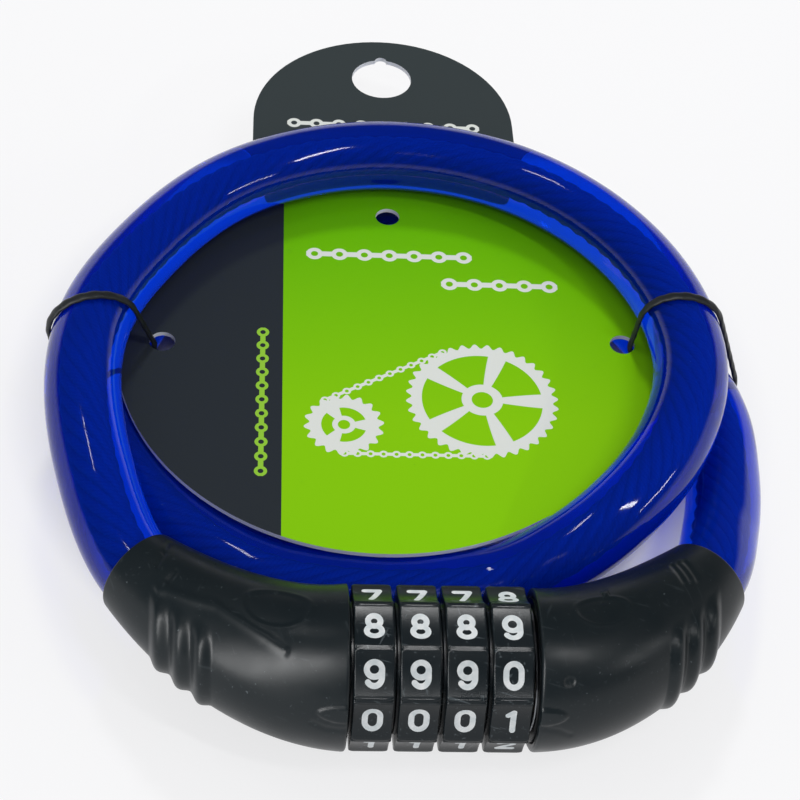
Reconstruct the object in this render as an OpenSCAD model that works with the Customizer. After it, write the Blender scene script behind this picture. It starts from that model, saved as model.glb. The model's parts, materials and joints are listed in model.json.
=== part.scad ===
// Cable lock with four numbered dials, its cable tied in two turns on a display card.
// X runs along the lock's axis, Y from the dials towards the hang hole, Z up.
// The origin lies on the ground under the middle of the lock and its card.

/* [Cable] */
// Diameter of the cable over its sheath
cable_d = 12; // [10:0.5:12]
// Wall of the sheath
sheath_wall = 3.2; // [2.8:0.1:3.6]
// Space between the steel rope and the sheath's bore
rope_gap = 0.2; // [0.1:0.05:0.3]

/* [Lock body] */
// Height of the lock's axis, and radius of the left sleeve where it meets the dials
lock_r = 12; // [12:0.1:12.6]
// Radius of the right sleeve where it meets the dials
plug_r = 11.8; // [11.5:0.1:12]
// Wall of a sleeve at its mouth
mouth_wall = 0.7; // [0.6:0.1:1.4]
// Height of the grip ribs on the sleeves
rib_h = 0.6; // [0.3:0.1:1]
// Number of grip ribs on a sleeve
rib_count = 3; // [2:1:4]
// Distance from one grip rib to the next
rib_pitch = 3.1; // [2.8:0.1:3.6]
// Distance from a sleeve's face to the middle of its ribs
rib_middle = 23.8; // [20:0.1:25]
// Length of a ferrule
ferrule_len = 6; // [5:0.5:7]
// Wall of a ferrule
ferrule_wall = 1.4; // [1:0.1:2]
// Depth of the rope's end in its ferrule
rope_grip = 3; // [2:0.5:3]
// Diameter of the pins that cross the ferrules
cross_pin_d = 1.8; // [1.2:0.2:2]
// Length of the pins that cross the ferrules
cross_pin_len = 15; // [12:1:17]

/* [Dials] */
// Number of dials
dial_count = 4; // [4:1:4]
// Distance from one dial to the next
dial_pitch = 6.5; // [6.3:0.1:7]
// Width of a dial's numbered rim
rim_w = 5.5; // [4:0.1:5.8]
// Distance across the flats of a dial
dial_flats = 22.8; // [21.5:0.1:22.8]
// Radius of the hub that spaces the dials
hub_r = 9.5; // [9:0.1:10]
// Depth of the hollow in each flat
flat_hollow = 0.3; // [0.1:0.05:0.5]
// Width of the ridge between two flats
ridge_w = 0.6; // [0.4:0.1:1.2]
// Angle of the flat that is read, above the horizontal at the front
read_angle = 15; // [0:1:36]

/* [Code rings] */
// Width of a code ring
code_w = 4.2; // [3.6:0.1:4.4]
// Outer radius of a code ring
code_r = 7.4; // [7.2:0.05:7.6]
// Radius of the keys that turn a ring with its dial
key_r = 0.6; // [0.4:0.05:0.7]
// Depth of the click notches in a ring's bore
click_depth = 0.5; // [0.3:0.05:0.6]

/* [Barrel and pin] */
// Outer radius of the barrel
barrel_r = 5; // [4.8:0.05:5.1]
// Radius of the barrel's flange
flange_r = 9; // [8.4:0.1:9.4]
// Thickness of the barrel's flange
flange_t = 1.6; // [1.4:0.1:1.7]
// Radius of the locking pin's shank
pin_r = 3; // [2.6:0.05:3.1]
// Reach of the pin's teeth from the axis
tooth_reach = 6.3; // [6:0.05:6.35]
// Width of the pin's teeth
tooth_w = 2; // [1.4:0.1:2]
// Thickness of the pin's teeth
tooth_t = 1.2; // [0.8:0.1:1.3]
// Radius of the pin's head
head_r = 4.8; // [4:0.1:5]
// Thickness of the pin's head
head_t = 1.4; // [1:0.1:1.5]
// Thickness of the strip of the detent spring
strip_t = 0.3; // [0.2:0.05:0.35]
// Width of the strip of the detent spring
strip_w = 2; // [1.4:0.1:2]
// Thickness of the wave washer's metal
washer_t = 0.2; // [0.15:0.05:0.25]
// Thickness of the end cap
cap_t = 0.7; // [0.6:0.05:0.9]
// Depth to which the end cap lies inside the face of the right sleeve
cap_sink = 0.9; // [0.5:0.1:1]
// Radius of the end cap
cap_r = 10.4; // [9.6:0.1:11]
// Thickness of the retaining ring
clip_t = 0.5; // [0.4:0.05:0.6]

/* [Display card] */
// Thickness of the card
card_t = 0.8; // [0.6:0.05:0.9]
// Radius of the card's round part
card_r = 43.1; // [42.5:0.1:43.1]
// How far the round part is drawn out towards the plug's side
card_draw = 4.8; // [3:0.1:4.8]
// Width of the card's header
header_w = 48; // [36:1:60]
// Distance from the middle of the round part to the top of the header
header_reach = 81.7; // [76:0.1:90]
// Radius of the hang hole
hang_r = 5.6; // [4:0.1:7]
// Radius of the small holes
small_hole_r = 2.1; // [1.6:0.1:2.3]

/* [Ties] */
// Diameter of a tie
tie_d = 0.9; // [0.6:0.1:1]

/* [Hidden] */
// Clearances: a running fit, a fitted seat, and loose pieces that nearly touch
run_gap = 0.05;
seat_gap = 0.05;
near_gap = 0.1;
// Cuts reach this far past the faces that they open
cut = 1;

// Where things lie: the lock's axis, the middle of the dials and of the card
lock_y = -66;
lock_x = 3.35;
lock_z = lock_r;
card_x = -3.3;
card_y = -3.7;
header_x = card_x + 2.2;
low_strand_z = tie_d + near_gap + cable_d / 2;
card_z = low_strand_z + cable_d / 2 + near_gap;

// The card's round part is drawn out by a second circle, smaller and further up
draw_less = 1.1;
draw_up = 1.6;

// The small holes of the card, measured from its round edges and its middle: left and
// right for the ties, and one spare
left_hole_in = 7.4;
right_hole_in = 6.1;
left_hole = [card_x - card_r + left_hole_in, card_y];
right_hole = [card_x + card_draw + card_r - draw_less - right_hole_in, card_y + 2];
spare_hole = [header_x, card_y + 31.8];

// The cable's route, by hand: out of the left ferrule, one high turn to the left and
// round over the card, down behind the dials, and a low turn to the right tie
coil_points = [
    [-19.4, -65.3, 12], [-29.8, -59.4, 12], [-40.2, -49.9, 12.3], [-48, -32.6, 16.8],
    [-50.6, -13.5, 19.9], [-49.8, -6.2, 20], [-42.3, 11.4, 20], [-26.4, 29.5, 20],
    [-2.8, 37.4, 20], [22.1, 31.7, 20], [40.3, 13.5, 20], [46, -2.6, 20],
    [46.5, -11.4, 20], [41.6, -27.8, 18.9], [33.2, -38.9, 16.6], [23.9, -45.3, 13],
    [14, -48.1, 8.7], [2.8, -48.6, 7.1], [-9.3, -48.4, 7], [-21.3, -46.1, 7],
    [-32.8, -38.4, 7], [-41.7, -27.1, 7], [-46.9, -13.4, 7], [-47.7, -6, 7],
    [-42.8, 11.7, 7], [-26.3, 29.3, 7], [-2.8, 36.8, 7], [21.8, 31, 7],
    [36, 19.5, 7], [45, 7.4, 7], [50, -3, 7],
];
// On from the right tie into the right ferrule
tail_points = [
    [52.6, -11.8, 7], [52.4, -24.1, 7.3], [50, -36.6, 9],
    [45.2, -49.1, 11.6], [36.6, -57.8, 12], [30, -62, 12],
];
// The route's points at the mouths of the sleeves and at the ties
left_mouth_point = 2;
right_mouth_back = 2;
left_high_point = 5;
left_low_point = 23;
right_high_point = 11;

// Rings of the swept tubes between two points, and sides round them
steps = 2;
check_steps = 6;
sheath_sides = 12;
rope_sides = 8;
tie_sides = 8;
sleeve_sides = 24;
sleeve_rings = 30;
arc_step = 22;
washer_parts = 48;
washer_waves = 3;
up = [0, 0, 1];

sheath_bore_r = cable_d / 2 - sheath_wall;
rope_r = sheath_bore_r - rope_gap;
ferrule_r = rope_r + seat_gap + ferrule_wall;
cavity_r = cable_d / 2 + 2 * near_gap;
mouth_r = cavity_r + mouth_wall;
cross_pin_at = (ferrule_len + rope_grip + near_gap) / 2;

// How a sleeve tapers: the share of its length, raised to this power, that it has lost
left_taper = 1.28;
right_taper = 1.69;
// The way that each mouth's rim faces, as an angle from +X
left_mouth_turn = 134;
right_mouth_turn = 49;
// The lip stands out by this share of the mouth's wall, and is rounded in two steps
lip_out = 0.4;
lip_steps = [0.7, 0.3];
// Ribs are full where the cosine of the angle from the outer side is above the first
// value, and gone where it is below the second
rib_full = 0.77;
rib_gone = 0.5;

// Places along the lock's axis
stack_left = lock_x - dial_count * dial_pitch / 2;
stack_right = lock_x + dial_count * dial_pitch / 2;
hub_w = dial_pitch - 2 * run_gap;
left_face = stack_left - run_gap - near_gap;
washer_play = 0.15;
face_gap = 0.35;
barrel_tip = 0.6;
recess_gap = 0.5;
shoulder_t = 0.7;
bore_floor = 0.9;
washer_room = washer_t + 2 * washer_play;
cap_left = stack_right + washer_room;
clip_left = cap_left + cap_t + run_gap;
cap_seat = cap_left + cap_t + face_gap;
right_face = cap_seat - cap_sink;
barrel_end = clip_left + clip_t + barrel_tip;
recess_end = barrel_end + recess_gap;
head_left = recess_end + shoulder_t;
bore_r = pin_r + near_gap;
bore_left = left_face - flange_t + bore_floor;
ring_bore_r = barrel_r + run_gap;
// The code ring sits towards the right of its dial, and leaves room for a tooth
code_margin = 0.55;
tooth_gap = 0.5;
notch_play = 0.2;
code_shift = (dial_pitch - code_w) / 2 - code_margin;
tooth_shift = code_shift - code_w / 2 - tooth_gap - tooth_t / 2;
notch_r = tooth_reach + notch_play;
notch_w = tooth_w + 2 * notch_play;
slot_w = tooth_w + 2 * near_gap;
dial_bore_r = code_r + 2 * run_gap;
key_track_r = code_r + run_gap;
washer_rim_in = 0.3;
washer_touch = 0.04;
washer_inner_r = notch_r + washer_rim_in;
// The retaining ring bites into the barrel, stands out of it, and is open at the slot
clip_bite = 0.7;
clip_rise = 1;
clip_opening = 0.4;
clip_seat_r = barrel_r - clip_bite;
clip_outer_r = barrel_r + clip_rise;
recess_r = clip_outer_r + 0.5;
cap_recess_r = cap_r + 2 * near_gap;
// The detent spring lies in a groove, and each of its humps has a foot and a top
strip_depth = 1.05;
strip_rise = 0.6;
strip_end_in = 0.3;
hump_foot = 1.6;
hump_top = 0.6;
strip_floor = barrel_r - strip_depth;
// The locking pin's bevelled tip, and how far the shank leads its first tooth
pin_tip = 1.2;
pin_bevel = 0.8;
pin_lead = 0.3;
facets = 10;
flat_r = dial_flats / 2;
// Margin of card above the hang hole, and the little peak at the hole's top
hang_margin = 5.7;
hang_peak_r = hang_r / 5;
hang_peak_sink = 0.3;

// Four dials and four code rings have a node each

// ---- Routes: straight first and last stretches, smooth curves between them

function unit(v) = v / norm(v);
function last(list) = list[len(list) - 1];
function backwards(list) = [for (i = [len(list) - 1:-1:0]) list[i]];

// The whole route, its point at the right tie, and where its straight stretches start
route_points = concat(coil_points, tail_points);
tie_point = len(coil_points) - 1;
end_point = len(route_points) - 1;
straights = [0, tie_point - 1, end_point - 1];

// Heading at a point: along the straight stretch that ends there, and elsewhere the
// tangent of the circle through the point and its two neighbours
function heading(i) =
    let (straight = [for (s = straights) if (i == s || i == s + 1) s])
        len(straight) > 0
        ? unit(route_points[straight[0] + 1] - route_points[straight[0]])
        : let (before = route_points[i] - route_points[i - 1],
            after = route_points[i + 1] - route_points[i])
            unit(unit(before) * norm(after) + unit(after) * norm(before));

// A cubic from a to b whose end slopes have given headings and the chord's length
function cubic(a, b, out, in, t) =
    let (reach = norm(b - a))
        a * (1 + 2 * t) * (1 - t) * (1 - t) + out * reach * t * (1 - t) * (1 - t)
        + b * t * t * (3 - 2 * t) - in * reach * t * t * (1 - t);
function cubic_slope(a, b, out, in, t) =
    let (reach = norm(b - a))
        (b - a) * 6 * t * (1 - t) + out * reach * (1 - t) * (1 - 3 * t)
        + in * reach * t * (3 * t - 2);

// Stations from one point of the route to another: each is a place and its heading
function stations(from, to, n) = [
    for (i = [from:to - 1], k = [0:n - 1])
        let (a = route_points[i], b = route_points[i + 1], out = heading(i), in = heading(i + 1))
            [cubic(a, b, out, in, k / n), unit(cubic_slope(a, b, out, in, k / n))],
    [route_points[to], heading(to)],
];
coil = stations(0, tie_point, steps);
tail = stations(tie_point, end_point, steps);

// ---- Swept skins

// A round ring of a swept body, square to its heading
function ring(station, r, sides) =
    let (side = unit(cross(station[1], up)), top = cross(side, station[1]))
        [for (k = [0:sides - 1])
            station[0] + r * (side * cos(360 * k / sides) + top * sin(360 * k / sides))];
function rings(list, r, sides) = [for (s = list) ring(s, r, sides)];

// Triangles between ring a and ring b of a list of rings
function band(a, b, sides) = [
    for (k = [0:sides - 1]) let (next = (k + 1) % sides)
        each [[a * sides + k, a * sides + next, b * sides + next],
              [a * sides + k, b * sides + next, b * sides + k]],
];
function flat_list(list) = [for (part = list) each part];

// A body closed by its first and last ring
module closed_by_caps(list) {
    sides = len(list[0]);
    count = len(list);
    polyhedron(
        points = flat_list(list),
        faces = [
            for (j = [0:count - 2]) each band(j, j + 1, sides),
            [for (k = [sides - 1:-1:0]) k],
            [for (k = [0:sides - 1]) (count - 1) * sides + k],
        ],
        convexity = 10
    );
}

// A body whose last ring joins its first, such as a pipe's wall or a closed loop
module closed_round(list) {
    sides = len(list[0]);
    count = len(list);
    polyhedron(
        points = flat_list(list),
        faces = [for (j = [0:count - 1]) each band(j, (j + 1) % count, sides)],
        convexity = 10
    );
}

module pipe(route, outer_r, inner_r, sides) {
    closed_round(concat(
        rings(route, outer_r, sides),
        rings(backwards(route), inner_r, sides)
    ));
}

// ---- Cable

// The rope's bare end reaches into its ferrule, on past the route's own end
function reach_in(station, length) = [station[0] + station[1] * length, station[1]];

module cable_sheath() {
    color("royalblue")
        pipe(coil, cable_d / 2, sheath_bore_r, sheath_sides);
}

module cable_core() {
    color("darkgray")
        closed_by_caps(rings(concat([reach_in(coil[0], -rope_grip)], coil), rope_r, rope_sides));
}

module cable_tail_sheath() {
    color("royalblue")
        pipe(tail, cable_d / 2, sheath_bore_r, sheath_sides);
}

module cable_tail_core() {
    color("darkgray")
        closed_by_caps(rings(concat(tail, [reach_in(last(tail), rope_grip)]), rope_r, rope_sides));
}

// ---- Pieces that lie along the lock's axis

// Puts a piece drawn along Z onto the lock's axis, its foot at x and its Y side up
module on_axis(x) {
    translate([x, lock_y, lock_z]) rotate([90, 0, 90]) children();
}

// Puts a piece drawn along Z onto a station, its foot there and its top towards the lock
module at_ferrule(station, turn) {
    translate(station[0])
        rotate([0, 0, atan2(turn * station[1][1], turn * station[1][0])])
            rotate([0, 90, 0])
                children();
}

// ---- Ferrules and their cross pins; the cable's end is their foot

module ferrule(station, turn) {
    at_ferrule(station, turn) difference() {
        cylinder(r = ferrule_r, h = ferrule_len, $fn = 64);
        translate([0, 0, -cut])
            cylinder(r = rope_r + seat_gap, h = rope_grip + near_gap + cut, $fn = 64);
        translate([0, 0, cross_pin_at]) rotate([0, 90, 0])
            cylinder(d = cross_pin_d + 2 * seat_gap, h = 4 * ferrule_r, center = true, $fn = 32);
    }
}

module cross_pin(station, turn, play) {
    at_ferrule(station, turn) translate([0, 0, cross_pin_at]) rotate([0, 90, 0])
        cylinder(d = cross_pin_d + 2 * play, h = cross_pin_len + 2 * play, center = true, $fn = 32);
}

module left_ferrule() { color("silver") ferrule(coil[0], -1); }
module right_ferrule() { color("silver") ferrule(last(tail), 1); }
module left_cross_pin() { color("gray") cross_pin(coil[0], -1, 0); }
module right_cross_pin() { color("gray") cross_pin(last(tail), 1, 0); }

// ---- Sleeves: a curved cone from the dials to the mouth, with grip ribs outside

// Grip ribs lie in planes square to the lock's axis, middle is the x of the middle one;
// they rise on the side away from the coil
function rib_wave(x, middle) =
    let (from_first = x - middle + rib_count * rib_pitch / 2)
        from_first < 0 || from_first > rib_count * rib_pitch ? 0
        : (1 - cos(360 * from_first / rib_pitch)) / 2;
function rib_side(a) = max(0, min(1, (cos(a) - rib_gone) / (rib_full - rib_gone)));

function sleeve_angle(k) = 360 * (k + 0.5) / sleeve_sides;
function sleeve_ring(station, r, middle, outer_side) =
    let (side = unit(cross(station[1], up)), top = cross(side, station[1]))
        [for (k = [0:sleeve_sides - 1])
            let (a = sleeve_angle(k), out = side * cos(a) + top * sin(a),
                bare = station[0] + r * out,
                rib = rib_h * rib_wave(bare[0], middle) * rib_side(a - outer_side))
                bare + rib * out];
function plain_ring(station, r) =
    let (side = unit(cross(station[1], up)), top = cross(side, station[1]))
        [for (k = [0:sleeve_sides - 1])
            station[0] + r * (side * cos(sleeve_angle(k)) + top * sin(sleeve_angle(k)))];

// The outside runs along a cubic from the face to the mouth, turns round the lip,
// and comes back along the cable's route to the ferrule. way is -1 to the left, 1 to
// the right; the cavity's stations start at the ferrule
module sleeve_skin(face_x, face_r, way, taper, mouth_turn, cavity) {
    face = [face_x, lock_y, lock_z];
    mouth = [last(cavity)[0], [cos(mouth_turn), sin(mouth_turn), 0]];
    out = [way, 0, 0];
    outer_side = 90 - 90 * way;
    lip = [mouth[0] + mouth[1] * mouth_wall * lip_out, mouth[1]];
    closed_by_caps(concat(
        [for (j = [0:sleeve_rings]) let (t = j / sleeve_rings)
            sleeve_ring(
                [cubic(face, mouth[0], out, mouth[1], t),
                    unit(cubic_slope(face, mouth[0], out, mouth[1], t))],
                face_r - (face_r - mouth_r) * pow(t, taper),
                face_x + way * rib_middle, outer_side)],
        [for (step = lip_steps) plain_ring(lip, cavity_r + mouth_wall * step)],
        [plain_ring(mouth, cavity_r + near_gap)],
        [for (i = [len(cavity) - 2:-1:0]) plain_ring(cavity[i], cavity_r)]
    ));
}

left_cavity = [for (i = [0:left_mouth_point * steps]) coil[i]];
right_cavity = [for (i = [len(tail) - 1:-1:len(tail) - 1 - right_mouth_back * steps])
    [tail[i][0], -tail[i][1]]];

// The pocket that a ferrule and its cross pin fill
module ferrule_pocket(station, turn) {
    at_ferrule(station, turn) translate([0, 0, -cut])
        cylinder(r = ferrule_r + seat_gap, h = ferrule_len + seat_gap + cut, $fn = 64);
    cross_pin(station, turn, seat_gap);
}

module left_sleeve() {
    color([0.1, 0.1, 0.11]) difference() {
        sleeve_skin(left_face, lock_r, -1, left_taper, left_mouth_turn, left_cavity);
        on_axis(left_face - flange_t - seat_gap)
            cylinder(r = flange_r + seat_gap, h = flange_t + seat_gap + cut, $fn = 96);
        ferrule_pocket(coil[0], -1);
    }
}

module right_sleeve() {
    color([0.1, 0.1, 0.11]) difference() {
        sleeve_skin(right_face, plug_r, 1, right_taper, right_mouth_turn, right_cavity);
        on_axis(right_face - cut)
            cylinder(r = cap_recess_r, h = cap_sink + cut, $fn = 96);
        on_axis(right_face - cut)
            cylinder(r = recess_r, h = recess_end - right_face + cut, $fn = 96);
        on_axis(recess_end - cut)
            cylinder(r = pin_r + seat_gap, h = head_left - recess_end + 2 * cut, $fn = 64);
        on_axis(head_left - seat_gap)
            cylinder(r = head_r + seat_gap, h = head_t + 2 * seat_gap, $fn = 64);
        ferrule_pocket(last(tail), 1);
    }
}

// ---- Barrel and what sits on it

module lock_barrel() {
    color("gainsboro") difference() {
        union() {
            on_axis(left_face - flange_t) cylinder(r = flange_r, h = flange_t, $fn = 96);
            on_axis(left_face - flange_t / 2)
                cylinder(r = barrel_r, h = barrel_end - left_face + flange_t / 2, $fn = 96);
        }
        on_axis(bore_left) cylinder(r = bore_r, h = barrel_end - bore_left + cut, $fn = 64);
        // Slot for the teeth, at the top
        translate([left_face, lock_y - slot_w / 2, lock_z])
            cube([barrel_end - left_face + cut, slot_w, barrel_r + cut]);
        // Groove for the detent spring, at the bottom
        translate([left_face + near_gap, lock_y - strip_w / 2 - seat_gap, lock_z - barrel_r - cut])
            cube([stack_right - left_face, strip_w + 2 * seat_gap, barrel_r + cut - strip_floor]);
        // Groove for the retaining ring
        on_axis(clip_left - seat_gap) difference() {
            cylinder(r = barrel_r + cut, h = clip_t + 2 * seat_gap, $fn = 96);
            translate([0, 0, -cut]) cylinder(r = clip_seat_r, h = clip_t + 3 * cut, $fn = 96);
        }
    }
}

function dial_x(i) = stack_left + (i - 0.5) * dial_pitch;
function code_x(i) = dial_x(i) + code_shift;

// The strip's outline, seen from the front: flat, with a hump under each code ring
function strip_line(depth) = [
    [stack_left + strip_end_in, depth],
    for (i = [1:dial_count]) each [
        [code_x(i) - hump_foot, depth],
        [code_x(i) - hump_top, depth + strip_rise],
        [code_x(i) + hump_top, depth + strip_rise],
        [code_x(i) + hump_foot, depth],
    ],
    [stack_right - strip_end_in, depth],
];

module detent_spring() {
    color("lightsteelblue")
        translate([0, lock_y, lock_z]) rotate([-90, 0, 0])
            linear_extrude(strip_w, center = true)
                polygon(concat(
                    strip_line(strip_floor),
                    backwards(strip_line(strip_floor + strip_t))
                ));
}

// The washer waves as it goes round: x = wave height times the sine of its angle
module wave_washer() {
    wave = (washer_room - washer_t) / 2 - washer_touch;
    middle = (stack_right + cap_left) / 2;
    outer_r = hub_r - washer_rim_in;
    function corner(a, r, side) =
        [middle + wave * sin(washer_waves * a) + side * washer_t / 2,
            lock_y + r * cos(a), lock_z + r * sin(a)];
    color("lightgray")
        closed_round([for (k = [0:washer_parts - 1]) let (a = 360 * k / washer_parts) [
            corner(a, washer_inner_r, -1), corner(a, outer_r, -1),
            corner(a, outer_r, 1), corner(a, washer_inner_r, 1),
        ]]);
}

module end_cap() {
    color([0.13, 0.13, 0.14]) difference() {
        on_axis(cap_left) cylinder(r = cap_r, h = cap_t, $fn = 96);
        on_axis(cap_left - cut) cylinder(r = barrel_r + seat_gap, h = cap_t + 2 * cut, $fn = 96);
        translate([cap_left - cut, lock_y - notch_w / 2, lock_z])
            cube([cap_t + 2 * cut, notch_w, notch_r]);
    }
}

module retaining_ring() {
    color("darkgray") difference() {
        on_axis(clip_left) cylinder(r = clip_outer_r, h = clip_t, $fn = 96);
        on_axis(clip_left - cut)
            cylinder(r = clip_seat_r + seat_gap, h = clip_t + 2 * cut, $fn = 96);
        translate([clip_left - cut, lock_y - notch_w / 2 - clip_opening, lock_z])
            cube([clip_t + 2 * cut, notch_w + 2 * clip_opening, clip_outer_r + cut]);
    }
}

// The pin: shank with a bevelled tip, a tooth to the left of each code ring, and a head
module locking_pin() {
    start = dial_x(1) + tooth_shift - tooth_t / 2 - pin_lead;
    color("silver") union() {
        on_axis(start) cylinder(r1 = pin_r - pin_bevel, r2 = pin_r, h = pin_tip, $fn = 64);
        on_axis(start + pin_tip) cylinder(r = pin_r, h = head_left - start - pin_tip, $fn = 64);
        on_axis(head_left) cylinder(r = head_r, h = head_t, $fn = 64);
        for (i = [1:dial_count])
            translate([dial_x(i) + tooth_shift - tooth_t / 2, lock_y - tooth_w / 2, lock_z])
                cube([tooth_t, tooth_w, tooth_reach]);
    }
}

// ---- Dials and code rings

// Flats face read_angle above the front and every 36 degrees on from there
module each_facet() {
    for (k = [0:facets - 1]) rotate([0, 0, k * 360 / facets]) children();
}

module dial(i) {
    flat_w = 2 * flat_r * tan(180 / facets);
    hollow_w = flat_w - 2 * ridge_w;
    hollow_r = (hollow_w * hollow_w / 4 + flat_hollow * flat_hollow) / (2 * flat_hollow);
    color([0.08, 0.08, 0.09]) on_axis(dial_x(i)) difference() {
        rotate([0, 0, 180 - read_angle]) difference() {
            union() {
                translate([0, 0, -rim_w / 2]) rotate([0, 0, 180 / facets])
                    cylinder(r = flat_r / cos(180 / facets), h = rim_w, $fn = facets);
                translate([0, 0, -hub_w / 2]) cylinder(r = hub_r, h = hub_w, $fn = 96);
            }
            each_facet() translate([flat_r - flat_hollow + hollow_r, 0, -hub_w])
                cylinder(r = hollow_r, h = 2 * hub_w, $fn = 96);
        }
        translate([0, 0, -hub_w]) cylinder(r = dial_bore_r, h = 2 * hub_w, $fn = 96);
        each_facet() translate([0, key_track_r, -hub_w])
            cylinder(r = key_r + near_gap, h = 2 * hub_w, $fn = 32);
    }
}

module code_ring(i) {
    color("khaki") on_axis(code_x(i) - code_w / 2) difference() {
        union() {
            cylinder(r = code_r, h = code_w, $fn = 96);
            for (side = [-1, 1]) translate([0, side * key_track_r, 0])
                cylinder(r = key_r, h = code_w, $fn = 32);
        }
        translate([0, 0, -cut]) cylinder(r = ring_bore_r, h = code_w + 2 * cut, $fn = 96);
        translate([-notch_w / 2, 0, -cut]) cube([notch_w, notch_r, code_w + 2 * cut]);
        each_facet() translate([0, -ring_bore_r, -cut])
            cylinder(r = click_depth, h = code_w + 2 * cut, $fn = 32);
    }
}

module dial_1() { dial(1); }
module dial_2() { dial(2); }
module dial_3() { dial(3); }
module dial_4() { dial(4); }
module code_ring_1() { code_ring(1); }
module code_ring_2() { code_ring(2); }
module code_ring_3() { code_ring(3); }
module code_ring_4() { code_ring(4); }

// ---- Card

module display_card() {
    arch_r = header_w / 2;
    arch_y = card_y + header_reach - arch_r;
    hang_y = arch_y + arch_r - hang_r - hang_margin;
    color("yellowgreen") translate([0, 0, card_z]) linear_extrude(card_t) difference() {
        union() {
            hull() {
                translate([card_x, card_y]) circle(r = card_r, $fn = 200);
                translate([card_x + card_draw, card_y + draw_up])
                    circle(r = card_r - draw_less, $fn = 200);
            }
            translate([header_x, arch_y]) circle(r = arch_r, $fn = 120);
            translate([header_x - arch_r, card_y]) square([header_w, arch_y - card_y]);
        }
        translate([header_x, hang_y]) circle(r = hang_r, $fn = 96);
        translate([header_x, hang_y + hang_r - hang_peak_sink]) circle(r = hang_peak_r, $fn = 48);
        for (hole = [left_hole, right_hole, spare_hole])
            translate(hole) circle(r = small_hole_r, $fn = 48);
    }
}

// ---- Ties: a belt round the high strand, the low strand and a point in the card's hole

// The outward angle of the straight run from circle a to circle b, each [centre, radius]
function run_angle(a, b) =
    let (d = b[0] - a[0])
        atan2(d[1], d[0]) - acos((a[1] - b[1]) / norm(d));

// The belt's points in its own plane, anticlockwise, with arcs round every circle
function belt(circles) = [
    for (i = [0:len(circles) - 1])
        let (
            here = circles[i],
            n = len(circles),
            start = run_angle(circles[(i + n - 1) % n], here),
            turn = (run_angle(here, circles[(i + 1) % n]) - start + 2 * 360) % 360,
            parts = max(2, ceil(turn / arc_step))
        )
            for (k = [0:parts])
                let (a = start + turn * k / parts)
                    [here[0] + here[1] * [cos(a), sin(a)], a],
];

// A tie lies in an upright plane through its hole and a point of the high strand. The
// plane cuts the strands aslant, so the belt is laid round circles in a plane squeezed
// by that slant, and is then drawn out to the strands' true, oval sections
module tie(hole, high_point, low_point) {
    high = route_points[high_point];
    low = route_points[low_point];
    out = unit([high[0] - hole[0], high[1] - hole[1]]);
    squeeze = min([for (i = [high_point, low_point]) abs(cross(out, [heading(i)[0], heading(i)[1]]))]);
    wrap_r = cable_d / 2 + near_gap + tie_d / 2;
    function across(p) = ((p[0] - hole[0]) * out[0] + (p[1] - hole[1]) * out[1]) * squeeze;
    function solid_point(p, side) = [
        hole[0] + out[0] * p[0] / squeeze - out[1] * side,
        hole[1] + out[1] * p[0] / squeeze + out[0] * side,
        p[1],
    ];
    path = belt([
        [[tie_d * squeeze, card_z + card_t / 2], tie_d * squeeze],
        [[across(low), low[2]], wrap_r],
        [[across(high), high[2]], wrap_r + 3 * near_gap],
    ]);
    color([0.07, 0.07, 0.08])
        closed_round([for (p = path) [for (k = [0:tie_sides - 1])
            let (a = -360 * k / tie_sides)
                solid_point(p[0] + tie_d / 2 * cos(a) * [cos(p[1]), sin(p[1])], tie_d / 2 * sin(a))]]);
}

module tie_left() { tie(left_hole, left_high_point, left_low_point); }
module tie_right() { tie(right_hole, right_high_point, tie_point); }

// ---- Measures of the cable's route, on finer points

function places(from, to) = [for (station = stations(from, to, check_steps)) station[0]];
function sum(list, i = 0) = i < len(list) ? list[i] + sum(list, i + 1) : 0;
function run_length(p) = sum([for (i = [0:len(p) - 2]) norm(p[i + 1] - p[i])]);
coil_places = places(0, tie_point);
// Turns are compared where they lie at least this many places apart along the cable
apart = 12;
echo(coil_least_gap = min([
    for (i = [0:len(coil_places) - 1 - apart], j = [i + apart:len(coil_places) - 1])
        norm(coil_places[i] - coil_places[j])
]) - cable_d);
echo(coil_length = run_length(coil_places));
echo(tail_length = run_length(places(tie_point, end_point)));

cable_sheath();
cable_core();
cable_tail_sheath();
cable_tail_core();
left_sleeve();
right_sleeve();
left_ferrule();
right_ferrule();
left_cross_pin();
right_cross_pin();
lock_barrel();
detent_spring();
wave_washer();
end_cap();
retaining_ring();
locking_pin();
dial_1();
dial_2();
dial_3();
dial_4();
code_ring_1();
code_ring_2();
code_ring_3();
code_ring_4();
display_card();
tie_left();
tie_right();
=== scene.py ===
# %% [markdown]
# # A cable lock on its display card
#
# The lock is a blue see-through cable in two turns, with a black body of two curved
# sleeves and four numbered dials. Two black ties hold the cable on a printed card.
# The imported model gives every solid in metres, X along the lock's axis, Y from the
# dials towards the hang hole, and Z up. New pieces are drawn straight into that frame,
# so each object stays at the origin and its place is in its mesh.

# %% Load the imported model
import json
import math

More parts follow.
